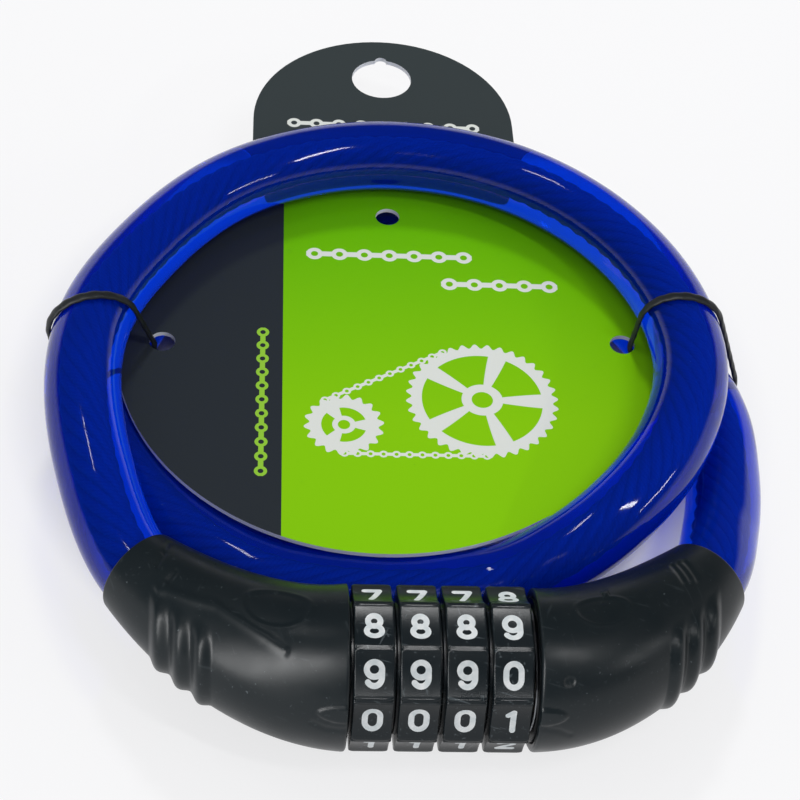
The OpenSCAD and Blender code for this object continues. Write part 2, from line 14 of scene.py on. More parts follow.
import bpy
import numpy as np
from mathutils import Matrix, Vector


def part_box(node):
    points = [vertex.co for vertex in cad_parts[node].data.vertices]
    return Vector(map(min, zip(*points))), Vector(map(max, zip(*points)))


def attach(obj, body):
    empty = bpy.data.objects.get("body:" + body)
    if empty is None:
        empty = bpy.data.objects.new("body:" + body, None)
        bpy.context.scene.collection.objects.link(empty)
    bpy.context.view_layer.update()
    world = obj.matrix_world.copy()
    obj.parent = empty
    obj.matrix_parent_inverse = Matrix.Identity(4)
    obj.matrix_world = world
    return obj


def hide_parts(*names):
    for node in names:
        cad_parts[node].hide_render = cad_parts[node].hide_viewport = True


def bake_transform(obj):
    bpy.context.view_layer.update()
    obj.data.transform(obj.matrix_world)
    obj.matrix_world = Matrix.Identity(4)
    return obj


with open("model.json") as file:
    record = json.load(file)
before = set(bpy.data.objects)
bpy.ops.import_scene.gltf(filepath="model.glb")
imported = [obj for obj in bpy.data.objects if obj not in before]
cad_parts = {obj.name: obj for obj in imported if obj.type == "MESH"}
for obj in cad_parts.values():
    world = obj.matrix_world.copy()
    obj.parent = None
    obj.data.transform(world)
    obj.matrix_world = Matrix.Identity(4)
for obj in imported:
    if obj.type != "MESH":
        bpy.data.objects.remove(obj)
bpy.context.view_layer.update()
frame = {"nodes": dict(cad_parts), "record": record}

MM = 0.001
DEG = math.pi / 180
UP = np.array([0.0, 0.0, 1.0])
scene = bpy.context.scene
print("packed nodes:", len(frame["nodes"]))

# %% [markdown]
# ## The camera
#
# A product shot looks down at the lock from the front, a little turned and rolled. A
# camera is placed by a matrix whose columns are its right, its up and its back, so the
# three are worked out from the angles rather than typed in.

# %% Camera
CAMERA_PLACE = np.array([-24.5, -225.47, 244.53]) * MM
CAMERA_DOWN, CAMERA_TURN, CAMERA_ROLL = np.radians([47.49, 6.55, 6.22])
CAMERA_LENS = 87.36

ahead = np.array([
    math.sin(CAMERA_TURN) * math.cos(CAMERA_DOWN),
    math.cos(CAMERA_TURN) * math.cos(CAMERA_DOWN),
    -math.sin(CAMERA_DOWN),
])
level = np.array([math.cos(CAMERA_TURN), -math.sin(CAMERA_TURN), 0.0])
upright = np.cross(level, ahead)
right = level * math.cos(CAMERA_ROLL) + upright * math.sin(CAMERA_ROLL)
top = upright * math.cos(CAMERA_ROLL) - level * math.sin(CAMERA_ROLL)

camera_data = bpy.data.cameras.new("camera")
camera_data.lens = CAMERA_LENS
camera_data.sensor_width = 36
camera_data.clip_start = 0.01
camera = bpy.data.objects.new("camera", camera_data)
turned = np.eye(4)
turned[:3, :4] = np.column_stack([right, top, -ahead, CAMERA_PLACE])
camera.matrix_world = Matrix(turned.tolist())
scene.collection.objects.link(camera)
scene.camera = camera
scene.view_settings.view_transform = "Standard"
print("camera height in mm:", CAMERA_PLACE[2] / MM)

# %% [markdown]
# ## Surfaces as arrays
#
# Nearly every piece here is a skin: rows of points, each row a closed ring, such as the
# rings round a cable. A ring's neighbours give four-sided faces, and either the ends
# get a flat cap or the last ring joins the first. Working with whole arrays keeps this
# short and quick, and the volume's sign tells whether the faces point outwards.

# %% From rings to a mesh
def ring_faces(rows, sides, joined):
    """Faces between ring i and ring i + 1, side j and side j + 1. joined: last to first."""
    i, j = np.meshgrid(
        np.arange(rows if joined else rows - 1), np.arange(sides), indexing="ij"
    )
    i2, j2 = (i + 1) % rows, (j + 1) % sides
    corners = [i * sides + j, i2 * sides + j, i2 * sides + j2, i * sides + j2]
    return np.stack(corners, axis=-1).reshape(-1, 4)


def volume_of(points, quads):
    """Six times the enclosed volume: the sum of a . (b x c) over the triangles."""
    a, b, c, d = (points[quads[:, k]] for k in range(4))
    return float((a * np.cross(b, c) + a * np.cross(c, d)).sum())


def skin(name, rings, joined=False, sharp=40, more=()):
    """A closed mesh through rings, an array of rows x sides x 3 in metres. Further
    arrays of rings become loose parts of the same mesh. Its UV map holds the share of
    the way round and the distance along in metres."""
    points, faces, uv = [], [], []
    for part in (rings, *more):
        rows, sides, _ = part.shape
        flat = part.reshape(-1, 3)
        first = sum(len(p) for p in points)
        quads = ring_faces(rows, sides, joined)
        centres = part.mean(axis=1)
        step = np.linalg.norm(np.diff(centres, axis=0, append=centres[:1]), axis=1)
        along = np.concatenate([[0], np.cumsum(step)])
        i, j = np.divmod(quads[:, 0], sides)
        corner_uv = np.stack([
            np.stack([j, j, j + 1, j + 1], axis=-1) / sides,
            np.stack([along[i], along[i + 1], along[i + 1], along[i]], axis=-1),
        ], axis=-1)
        caps = []
        if not joined:
            caps = [np.arange(sides), np.arange(rows * sides - 1, (rows - 1) * sides - 1, -1)]
        if volume_of(flat - flat.mean(axis=0), quads) < 0:
            quads, corner_uv = quads[:, ::-1], corner_uv[:, ::-1]
            caps = [cap[::-1] for cap in caps]
        points.append(flat)
        faces += (quads + first).tolist() + [(cap + first).tolist() for cap in caps]
        uv += [corner_uv.reshape(-1, 2)] + [np.zeros((len(cap), 2)) for cap in caps]
    mesh = bpy.data.meshes.new(name)
    mesh.from_pydata(np.concatenate(points).tolist(), [], faces)
    mesh.uv_layers.new(name="around_along").uv.foreach_set(
        "vector", np.concatenate(uv).astype(np.float32).ravel()
    )
    return finish_piece(name, mesh, sharp)


def finish_piece(name, mesh, sharp=40):
    """Puts a mesh into the scene, smooth except over edges sharper than that angle."""
    mesh.validate()
    mesh.shade_smooth()
    mesh.set_sharp_from_angle(angle=math.radians(sharp))
    piece = bpy.data.objects.new(name, mesh)
    scene.collection.objects.link(piece)
    return piece


print("ring helper: a 3 x 4 skin has", len(ring_faces(3, 4, False)), "faces")

# %% [markdown]
# ## The cable's route
#
# The real cable is one stiff spring of steel rope in plastic. It leaves the left
# sleeve, makes a high turn over the card, dips behind the dials, makes a low turn under
# the card, and runs from the right tie into the plug. The points are the route's own,
# in millimetres. Between two points runs a cubic whose end slopes follow the circle
# through each point and its neighbours, so the curve has no kinks.

# %% Points of the route
COIL_POINTS = np.array([
    [-19.4, -65.3, 12], [-29.8, -59.4, 12], [-40.2, -49.9, 12.3], [-48, -32.6, 16.8],
    [-50.6, -13.5, 19.9], [-49.8, -6.2, 20], [-42.3, 11.4, 20], [-26.4, 29.5, 20],
    [-2.8, 37.4, 20], [22.1, 31.7, 20], [40.3, 13.5, 20], [46, -2.6, 20],
    [46.5, -11.4, 20], [41.6, -27.8, 18.9], [33.2, -38.9, 16.6], [23.9, -45.3, 13],
    [14, -48.1, 8.7], [2.8, -48.6, 7.1], [-9.3, -48.4, 7], [-21.3, -46.1, 7],
    [-32.8, -38.4, 7], [-41.7, -27.1, 7], [-46.9, -13.4, 7], [-47.7, -6, 7],
    [-42.8, 11.7, 7], [-26.3, 29.3, 7], [-2.8, 36.8, 7], [21.8, 31, 7],
    [36, 19.5, 7], [45, 7.4, 7], [50, -3, 7],
]) * MM
TAIL_POINTS = np.array([
    [52.6, -11.8, 7], [52.4, -24.1, 7.3], [50, -36.6, 9],
    [45.2, -49.1, 11.6], [36.6, -57.8, 12], [30, -62, 12],
]) * MM
ROUTE = np.concatenate([COIL_POINTS, TAIL_POINTS])
AT_TIE, AT_END = len(COIL_POINTS) - 1, len(ROUTE) - 1
STRAIGHTS = [0, AT_TIE - 1, AT_END - 1]
LEFT_MOUTH, RIGHT_MOUTH = 2, AT_END - 2


def unit(vectors):
    """Each vector divided by its own length."""
    return vectors / np.linalg.norm(vectors, axis=-1, keepdims=True)


def headings_of(points):
    """The tangent of the circle through a point and its neighbours: the unit steps
    before and after, each weighted by the other's length. Straight stretches keep
    their own direction at both ends."""
    step = np.diff(points, axis=0)
    length = np.linalg.norm(step, axis=1, keepdims=True)
    way = step / length
    heading = np.concatenate([
        way[:1], unit(way[:-1] * length[1:] + way[1:] * length[:-1]), way[-1:]
    ])
    for start in STRAIGHTS:
        heading[start] = heading[start + 1] = way[start]
    return heading


HEADINGS = headings_of(ROUTE)


def cubic(a, b, out, into, t):
    """Place and unit slope at share t from a to b: a cubic that leaves along out and
    arrives along into, both as long as the chord."""
    reach = np.linalg.norm(b - a, axis=-1, keepdims=True)
    place = (
        a * (1 + 2 * t) * (1 - t) ** 2 + out * reach * t * (1 - t) ** 2
        + b * t * t * (3 - 2 * t) - into * reach * t * t * (1 - t)
    )
    slope = (
        (b - a) * 6 * t * (1 - t) + out * reach * (1 - t) * (1 - 3 * t)
        + into * reach * t * (3 * t - 2)
    )
    return place, unit(slope)


def stretch(first, last, parts):
    """Places and headings from one point of the route to another, parts per step."""
    share = np.tile(np.arange(parts) / parts, last - first)[:, None]
    a = np.repeat(np.arange(first, last), parts)
    places, headings = cubic(ROUTE[a], ROUTE[a + 1], HEADINGS[a], HEADINGS[a + 1], share)
    return (
        np.concatenate([places, ROUTE[last:last + 1]]),
        np.concatenate([headings, HEADINGS[last:last + 1]]),
    )


def distance_along(places):
    """The distances between neighbours summed up, from 0 at the first."""
    return np.concatenate([[0], np.cumsum(np.linalg.norm(np.diff(places, axis=0), axis=1))])


def length_of(places):
    """Sum of the distances between neighbours."""
    return float(np.linalg.norm(np.diff(places, axis=0), axis=1).sum())


print("points of the route:", len(ROUTE))

# %% [markdown]
# ### Coil and tail
#
# The last stretch of the cable, which bends with the plug on the real lock, is a piece
# of its own. It is parted from the coil a few millimetres before the right tie, where both
# lie still.

# %% Where the cable is parted
STATIONS = 16
SEAM_BACK = 4.3 * MM

coil_run, tail_run = stretch(0, AT_TIE, STATIONS), stretch(AT_TIE, AT_END, STATIONS)
to_tie = np.linalg.norm(coil_run[0] - ROUTE[AT_TIE], axis=1)
seam = np.flatnonzero(to_tie >= SEAM_BACK)[-1]
tail_run = [np.concatenate([c[seam:-1], t]) for c, t in zip(coil_run, tail_run)]
coil_run = [c[:seam + 1] for c in coil_run]
print("coil and tail in mm:", length_of(coil_run[0]) / MM, length_of(tail_run[0]) / MM)

# %% [markdown]
# ## The sheath
#
# The sheath is a thick clear blue plastic tube that grips the rope, so light meets no
# air between them. It is drawn as one solid rod of plastic with the rope sunk in it:
# that gives the same look, and the rod's round face magnifies the rope as the real one
# does.

# %% Rods along the route
CABLE_R = 6 * MM
SHEATH_SIDES = 48


def side_and_top(headings):
    """The level direction square to a heading, and the one square to both."""
    side = unit(np.cross(headings, UP))
    return side, np.cross(side, headings)


def round_rings(places, headings, radius, sides, turn=0.0):
    """Circles square to the headings: place + r (side cos a + top sin a)."""
    side, above = side_and_top(headings)
    a = 2 * np.pi * np.arange(sides) / sides + np.reshape(turn, (-1, 1))
    radius = np.reshape(radius, (-1, 1, 1))
    return places[:, None] + radius * (
        side[:, None] * np.cos(a)[..., None] + above[:, None] * np.sin(a)[..., None]
    )


coil_sheath = skin("coil_sheath", round_rings(*coil_run, CABLE_R, SHEATH_SIDES), sharp=60)
tail_sheath = skin("tail_sheath", round_rings(*tail_run, CABLE_R, SHEATH_SIDES), sharp=60)
print("sheath faces:", len(coil_sheath.data.polygons), len(tail_sheath.data.polygons))

# %% [markdown]
# ## The rope
#
# Steel rope is strands laid in a helix round a straight core strand. A strand's middle
# runs round the route at a fixed radius while it goes along, one turn per lay length.
# Its own round section is then carried along that helix. The core is thick enough to
# fill the bottoms of the grooves between the strands, which keeps them shallow. Both
# sleeves hold a few more millimetres of bare rope, crimped in a ferrule.

# %% Twisted strands
ROPE_R = 2.6 * MM
STRANDS = 8
STRAND_R = 0.78 * MM
CORE_R = ROPE_R - 0.5 * STRAND_R
LAY = 27 * MM
ROPE_GRIP = 3 * MM
STRAND_SIDES = 10


def with_grip(run, at_start):
    """The run with one more station: the rope's bare end, straight on past the run."""
    places, headings = run
    if at_start:
        extra = places[:1] - headings[:1] * ROPE_GRIP
        return np.concatenate([extra, places]), np.concatenate([headings[:1], headings])
    extra = places[-1:] + headings[-1:] * ROPE_GRIP
    return np.concatenate([places, extra]), np.concatenate([headings, headings[-1:]])


def strand_rings(run, start_length, number):
    """Rings round strand number: its middle is at rope radius less strand radius, at
    the angle of the distance along over the lay plus the strand's share of a turn."""
    places, headings = run
    along = distance_along(places)
    angle = 2 * np.pi * ((along + start_length) / LAY + number / STRANDS)
    side, above = side_and_top(headings)
    around = side * np.cos(angle)[:, None] + above * np.sin(angle)[:, None]
    across = above * np.cos(angle)[:, None] - side * np.sin(angle)[:, None]
    reach = ROPE_R - STRAND_R
    middle = places + reach * around
    ahead_along = unit(headings + across * (2 * np.pi * reach / LAY))
    outwards = unit(around - ahead_along * (around * ahead_along).sum(1, keepdims=True))
    third = np.cross(outwards, ahead_along)
    a = 2 * np.pi * np.arange(STRAND_SIDES) / STRAND_SIDES
    return middle[:, None] + STRAND_R * (
        outwards[:, None] * np.cos(a)[:, None] + third[:, None] * np.sin(a)[:, None]
    )


def rope(name, run, start_length):
    """All strands and the core strand as loose parts of one mesh."""
    strands = [strand_rings(run, start_length, n) for n in range(STRANDS)]
    core = round_rings(*run, CORE_R, STRAND_SIDES)
    return skin(name, strands[0], sharp=60, more=(*strands[1:], core))


coil_rope_run = with_grip(coil_run, True)
tail_rope_run = with_grip(tail_run, False)
coil_rope = rope("coil_rope", coil_rope_run, 0)
tail_rope = rope("tail_rope", tail_rope_run, length_of(coil_rope_run[0]))
print("rope faces:", len(coil_rope.data.polygons) + len(tail_rope.data.polygons))

# %% [markdown]
# ## Where the cable's pieces go
#
# The coil stays where it is, on the root body. On the real lock the tail is held at the
# right tie and by the plug and bends between them when the plug is pulled; here it keeps
# its place and is joined to no body. The packed nodes of the cable are hidden.

# %% Bodies
for piece, node, slot_name in (
    (coil_sheath, "cable_sheath", "clear_sheath"), (coil_rope, "cable_core", "steel_rope"),
):
    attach(piece, "root")
    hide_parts(node)
for piece, node, slot_name in (
    (tail_sheath, "cable_tail_sheath", "clear_sheath"),
    (tail_rope, "cable_tail_core", "steel_rope"),
):
    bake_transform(piece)
    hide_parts(node)

# %% [markdown]
# ## The sleeves
#
# Each sleeve is a moulded black shell, a cone that curves from the dials back to the
# cable's mouth. Its outside runs along one cubic from the face to the mouth while the
# radius falls, and its inside follows the cable. On that skin lie the grip ribs, a
# raised crease, an oval pad, an index mark beside the dials and a few fine nicks at the
# mouth. Each is a small height added along the skin, so all of it is real shape.

# %% Sizes along the lock's axis
LOCK_Y, LOCK_Z = -66 * MM, 12 * MM
LOCK_X, DIAL_PITCH, DIAL_COUNT = 3.35 * MM, 6.5 * MM, 4
STACK_LEFT = LOCK_X - DIAL_COUNT * DIAL_PITCH / 2
FLANGE_SUNK, CAP_SUNK, HEAD_GAP = 1.6 * MM, 0.55 * MM, 1.2 * MM
BARREL_START, BARREL_END = (corner[0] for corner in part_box("lock_barrel"))
LEFT_FACE = BARREL_START + FLANGE_SUNK
RIGHT_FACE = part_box("end_cap")[1][0] - CAP_SUNK
HEAD_LEFT = BARREL_END + HEAD_GAP
CAVITY_R, MOUTH_WALL, EDGE_ROUND = 6.2 * MM, 0.7 * MM, 0.35 * MM
SLEEVE_SIDES, SLEEVE_ROWS, LIP_ROWS, CAVITY_STATIONS = 256, 300, 9, 6
SKIN_ANGLES = 2 * np.pi * (np.arange(SLEEVE_SIDES) + 0.5) / SLEEVE_SIDES
print("faces at", round(LEFT_FACE / MM, 2), round(RIGHT_FACE / MM, 2), "mm")

# %% The bare skin of a sleeve
LEFT_SLEEVE = {
    "face_x": LEFT_FACE, "face_r": 12 * MM, "way": -1, "taper": 1.28,
    "mouth": ROUTE[LEFT_MOUTH], "mouth_turn": math.radians(134),
}
RIGHT_SLEEVE = {
    "face_x": RIGHT_FACE, "face_r": 11.8 * MM, "way": 1, "taper": 1.69,
    "mouth": ROUTE[RIGHT_MOUTH], "mouth_turn": math.radians(49),
}


def smooth_step(x, low, high):
    """0 below low, 1 above high, 3 s^2 - 2 s^3 between them."""
    s = np.clip((x - low) / (high - low), 0, 1)
    return s * s * (3 - 2 * s)


def sleeve_frame(shape, share):
    """Middle, side, top, radius and heading at each share of the way to the mouth."""
    face = np.array([shape["face_x"], LOCK_Y, LOCK_Z])
    turn = shape["mouth_turn"]
    into = np.array([math.cos(turn), math.sin(turn), 0.0])
    out = np.array([shape["way"], 0.0, 0.0])
    middle, heading = cubic(face, shape["mouth"], out, into, share[:, None])
    side, above = side_and_top(heading)
    mouth_r = CAVITY_R + MOUTH_WALL
    radius = shape["face_r"] - (shape["face_r"] - mouth_r) * share ** shape["taper"]
    return middle, heading, side, above, radius


def outer_angle(shape, angle):
    """Angle from the side that faces away from the coil, positive upwards."""
    return np.pi - angle if shape["way"] < 0 else angle


print("skin ready")

# %% [markdown]
# ### Details on the skin
#
# The ribs lie in planes square to the lock's axis, so their height depends on x. The
# other details are placed by their distance from the face and their angle up from the
# outer side, which together work like a map of the skin.

# %% Heights of the details
RIB_COUNT, RIB_PITCH, RIB_MIDDLE, RIB_H = 3, 3.1 * MM, 23.8 * MM, 0.75 * MM
RIB_GONE, RIB_FULL, RIB_BLUNT = 0.5, 0.77, 0.8
PAD_OUT, PAD_IN, PAD_RIM = 1.12, 0.92, 0.1
ROUND_R = 10 * MM


def ribs(reach, up_angle):
    """(1 - cos) waves along x, raised to a power that blunts them. They are full where
    the cosine of the angle up is above RIB_FULL, and gone below RIB_GONE."""
    from_first = reach - RIB_MIDDLE + RIB_COUNT * RIB_PITCH / 2
    inside = (from_first > 0) & (from_first < RIB_COUNT * RIB_PITCH)
    wave = np.where(inside, (1 - np.cos(2 * np.pi * from_first / RIB_PITCH)) / 2, 0)
    near = smooth_step(np.cos(up_angle), RIB_GONE, RIB_FULL)
    return RIB_H * wave ** RIB_BLUNT * near


def oval(reach, up_angle, at, size, turn):
    """0 in the middle of an ellipse on the skin and 1 on its outline. An angle counts
    as a length on a circle of ROUND_R."""
    u = reach - at[0] * MM
    v = (up_angle - at[1] * DEG) * ROUND_R
    c, s = math.cos(turn), math.sin(turn)
    return np.hypot((u * c + v * s) / size[0], (v * c - u * s) / size[1]) / MM


def off_line(reach, up_angle, corners):
    """Distance on the skin from the nearest stretch of a line through the corners."""
    u, v = reach, up_angle * ROUND_R
    off = np.full_like(reach, 1.0)
    for (u1, a1), (u2, a2) in zip(corners, corners[1:]):
        start = np.array([u1 * MM, a1 * DEG * ROUND_R])
        du, dv = np.array([u2 * MM, a2 * DEG * ROUND_R]) - start
        share = ((u - start[0]) * du + (v - start[1]) * dv) / (du * du + dv * dv)
        share = np.clip(share, 0, 1)
        off = np.minimum(off, np.hypot(u - start[0] - share * du, v - start[1] - share * dv))
    return off


def skin_height(shape, reach, up_angle):
    """All details of one sleeve added up, in metres: a pad is a smooth step between
    two ovals plus a ridge exp(-x^2) on its outline, a line is such a ridge alone."""
    height = ribs(reach, up_angle)
    for at, size, turn, rise, rim in shape["pads"]:
        d = oval(reach, up_angle, at, size, turn)
        flat = smooth_step(-d, -PAD_OUT, -PAD_IN)
        ridge = np.exp(-((d - 1) / PAD_RIM) ** 2)
        height += (rise * flat + rim * ridge) * MM
    for corners, width, rise in shape["lines"]:
        off = off_line(reach, up_angle, corners)
        height += rise * MM * np.exp(-((off / (width * MM)) ** 2))
    return height


# A pad: its middle (mm from the face, degrees up), half sizes, turn, rise, rise of its rim.
# A line: its corners (mm from the face, degrees up), its width, and its rise.
LEFT_SLEEVE["pads"] = [
    ((10.2, 93), (4.9, 2.8), -0.26, -0.10, 0.12),
    ((0, 22), (4.4, 1.2), 0, 0.28, -0.12),
]
LEFT_SLEEVE["lines"] = [
    ([(27, 62), (26, 66), (18.8, 76), (14.9, 71.5), (11.6, 66.5), (9.1, 61)], 0.7, 0.26),
    ([(0, 9), (3, 9), (5, 13)], 0.4, -0.12),
    ([(27.5, 81), (26.3, 102)], 0.35, -0.16),
    ([(26.7, 99), (25.7, 125)], 0.35, -0.16),
    ([(25.7, 74.5), (24.5, 88.5)], 0.35, -0.16),
]
RIGHT_SLEEVE["pads"] = [
    ((9.3, 94), (4.1, 2.1), -0.27, -0.10, 0.12),
    ((0, 21), (4.0, 1.2), 0, 0.28, -0.12),
    ((10.2, 110), (0.6, 0.5), 0, 0.25, 0),
    ((3.9, 46.5), (0.8, 0.6), 0, -0.20, 0),
]
RIGHT_SLEEVE["lines"] = [
    ([(0, 13), (3, 9), (4.7, 3)], 0.4, -0.12),
    ([(21.2, 108), (22.4, 86)], 0.35, -0.16),
    ([(22.2, 106), (23.5, 84)], 0.35, -0.16),
    ([(23.2, 104.5), (24.7, 79)], 0.35, -0.16),
]
print("details:", len(LEFT_SLEEVE["lines"]) + len(RIGHT_SLEEVE["lines"]), "lines")

# %% Sleeve meshes
def face_rings(rows, shape):
    """Circles about the lock's axis at each (x, radius), for the recess in the face."""
    a = SKIN_ANGLES
    x, r = np.array(rows).T
    out = np.array([shape["way"], 0.0, 0.0])
    side, above = side_and_top(out[None])
    middle = np.stack([x, np.full_like(x, LOCK_Y), np.full_like(x, LOCK_Z)], axis=1)
    round_way = side * np.cos(a)[:, None] + above * np.sin(a)[:, None]
    return middle[:, None] + r[:, None, None] * round_way


def sleeve(name, shape, recess, cavity_run):
    """Recess, face edge, outer skin, rounded lip, and the cavity back to the ferrule."""
    a = SKIN_ANGLES
    share = np.linspace(0, 1, SLEEVE_ROWS)
    middle, heading, side, above, radius = sleeve_frame(shape, share)
    gone = share * np.linalg.norm(shape["mouth"] - middle[0])
    before_edge = np.clip(1 - gone / EDGE_ROUND, 0, 1)
    radius = radius - EDGE_ROUND * (1 - np.sqrt(1 - before_edge ** 2))
    around = side[:, None] * np.cos(a)[:, None] + above[:, None] * np.sin(a)[:, None]
    bare = middle[:, None] + radius[:, None, None] * around
    reach = (bare[..., 0] - shape["face_x"]) * shape["way"]
    up_angle = outer_angle(shape, np.broadcast_to(a, reach.shape))
    up_angle = (up_angle + np.pi) % (2 * np.pi) - np.pi
    lift = skin_height(shape, reach, up_angle)
    lift[0] = 0
    outer = bare + lift[..., None] * around
    turn = np.linspace(0, np.pi, LIP_ROWS)[1:]
    lip_r = CAVITY_R + MOUTH_WALL / 2 + MOUTH_WALL / 2 * np.cos(turn)
    lip_mid = middle[-1] + heading[-1] * (MOUTH_WALL / 2 * np.sin(turn))[:, None]
    lip = lip_mid[:, None] + lip_r[:, None, None] * around[-1]
    places, headings = cavity_run
    cavity = round_rings(
        places, headings, CAVITY_R, SLEEVE_SIDES, turn=np.pi / SLEEVE_SIDES
    )
    rows = np.concatenate([face_rings(recess, shape), outer, lip, cavity])
    return skin(name, rows, sharp=50)


# Both cavities run inwards from two stations behind the mouth, and their headings
# point out of the mouth, as the sleeve's own do.
left_places, left_headings = stretch(0, LEFT_MOUTH, CAVITY_STATIONS)
left_cavity = (left_places[-3::-1], left_headings[-3::-1])
right_places, right_headings = stretch(RIGHT_MOUTH, AT_END, CAVITY_STATIONS)
right_cavity = (right_places[2:], -right_headings[2:])

# Depths and radii of the recesses that take the barrel's flange, and the cap, the
# barrel's end and the pin's head. Each starts in a small hole and ends in a chamfer.
START_R, CHAMFER = 0.2 * MM, 0.15 * MM
FLANGE_FLOOR, FLANGE_R = LEFT_FACE - 1.65 * MM, 9.05 * MM
HEAD_FLOOR, HEAD_R = HEAD_LEFT + 0.2 * MM, 3.05 * MM
BARREL_FLOOR, BARREL_R = BARREL_END + 0.5 * MM, 6.5 * MM
CAP_FLOOR, CAP_R = RIGHT_FACE + 0.9 * MM, 10.6 * MM
left_sleeve = sleeve("left_body", LEFT_SLEEVE, [
    (FLANGE_FLOOR, START_R), (FLANGE_FLOOR, FLANGE_R),
    (LEFT_FACE - CHAMFER, FLANGE_R), (LEFT_FACE, FLANGE_R + CHAMFER), (LEFT_FACE, 11.5 * MM),
], left_cavity)
right_sleeve = sleeve("right_body", RIGHT_SLEEVE, [
    (HEAD_FLOOR, START_R), (HEAD_FLOOR, HEAD_R), (BARREL_FLOOR, HEAD_R),
    (BARREL_FLOOR, BARREL_R), (CAP_FLOOR, BARREL_R), (CAP_FLOOR, CAP_R),
    (RIGHT_FACE + CHAMFER, CAP_R), (RIGHT_FACE, CAP_R + CHAMFER), (RIGHT_FACE, 11.3 * MM),
], right_cavity)
for piece, body in ((left_sleeve, "root"), (right_sleeve, "plug")):
    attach(piece, body)
    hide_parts(piece.name.replace("body", "sleeve"))
print("sleeve faces:", len(left_sleeve.data.polygons), len(right_sleeve.data.polygons))

# %% [markdown]
# ## The dials
#
# A dial is a ten-sided ring. Its flats are slightly hollow, and a thin bar stands on
# each edge between two flats for the finger. The outline's radius is a function of the
# angle and of the place along the axis, and the bore keeps the ten tracks in which the
# code ring's keys sit. The rows close into a ring, so nothing needs a cap.

# %% One dial's outline
FACETS, FLAT_R, READ_ANGLE = 10, 11.4 * MM, 15 * DEG
FLAT_HOLLOW, RIM_W, HUB_R = 0.45 * MM, 5.7 * MM, 9.5 * MM
FLAT_HALF = FLAT_R * math.tan(np.pi / FACETS)
CORNER_R = FLAT_R / math.cos(np.pi / FACETS) - 0.05 * MM
CORNER_W, CORNER_ROUND, CORNER_DROP = 0.5 * MM, 0.22 * MM, 0.1 * MM
BAR_W, BAR_LENGTH, BAR_RISE = 0.62 * MM, 5.0 * MM, 0.2 * MM
BAR_SIDE_SOFT, BAR_END_SOFT = 0.08 * MM, 0.1 * MM
BORE_R, TRACK_R, KEY_R = 7.5 * MM, 7.45 * MM, 0.7 * MM
RIM_ROUND, RIM_LEAN, HUB_EDGE, HUB_GAP = 0.3 * MM, 0.8, 0.1 * MM, 0.1 * MM
DIAL_SIDES, RIM_ROWS, BAR_ROWS = 720, 6, 13


def across_flat(angle):
    """Distance along the nearest flat from its middle, and that flat's own angle."""
    step = 2 * np.pi / FACETS
    off = (angle - READ_ANGLE + step / 2) % step - step / 2
    return FLAT_R * np.tan(off), off


def hollow_at(v):
    """The hollow of a flat, a parabola 1 - x^2 that ends a bar's width from its edges."""
    return FLAT_HOLLOW * np.clip(1 - (v / (FLAT_HALF - BAR_W)) ** 2, 0, 1)


def rim_radius(angle, along):
    """Flat, less its hollow, plus a bar on each corner over its own length. All of it
    is held inside one circle, so that a turning dial clears the cable."""
    v, off = across_flat(angle)
    edge = FLAT_HALF - np.abs(v)
    body_r = (FLAT_R - hollow_at(v)) / np.cos(off)
    corner = smooth_step(-edge, -CORNER_W, 0)
    rounded = CORNER_ROUND * corner ** 2
    half_w, half_length = BAR_W / 2, BAR_LENGTH / 2
    bar = smooth_step(-np.abs(edge), -half_w - BAR_SIDE_SOFT, -half_w + BAR_SIDE_SOFT)
    length = smooth_step(
        -np.abs(along), -half_length - BAR_END_SOFT, -half_length + BAR_END_SOFT
    )
    reach = body_r - rounded + BAR_RISE * bar * length - CORNER_DROP * (1 - length) * corner
    return np.minimum(reach, CORNER_R)


def bore_radius(angle):
    """A circle, with a smaller circle cut in at each key track."""
    step = 2 * np.pi / FACETS
    off = (angle - READ_ANGLE - np.pi / 2 + step / 2) % step - step / 2
    inside = KEY_R ** 2 - (TRACK_R * np.sin(off)) ** 2
    track = TRACK_R * np.cos(off) + np.sqrt(np.clip(inside, 0, None))
    return np.where(inside > 0, np.maximum(track, BORE_R), BORE_R)


def dial_middle(number):
    """Dials stand side by side along the lock's axis, dial 1 at the left."""
    return np.array([STACK_LEFT + (number - 0.5) * DIAL_PITCH, LOCK_Y, LOCK_Z])


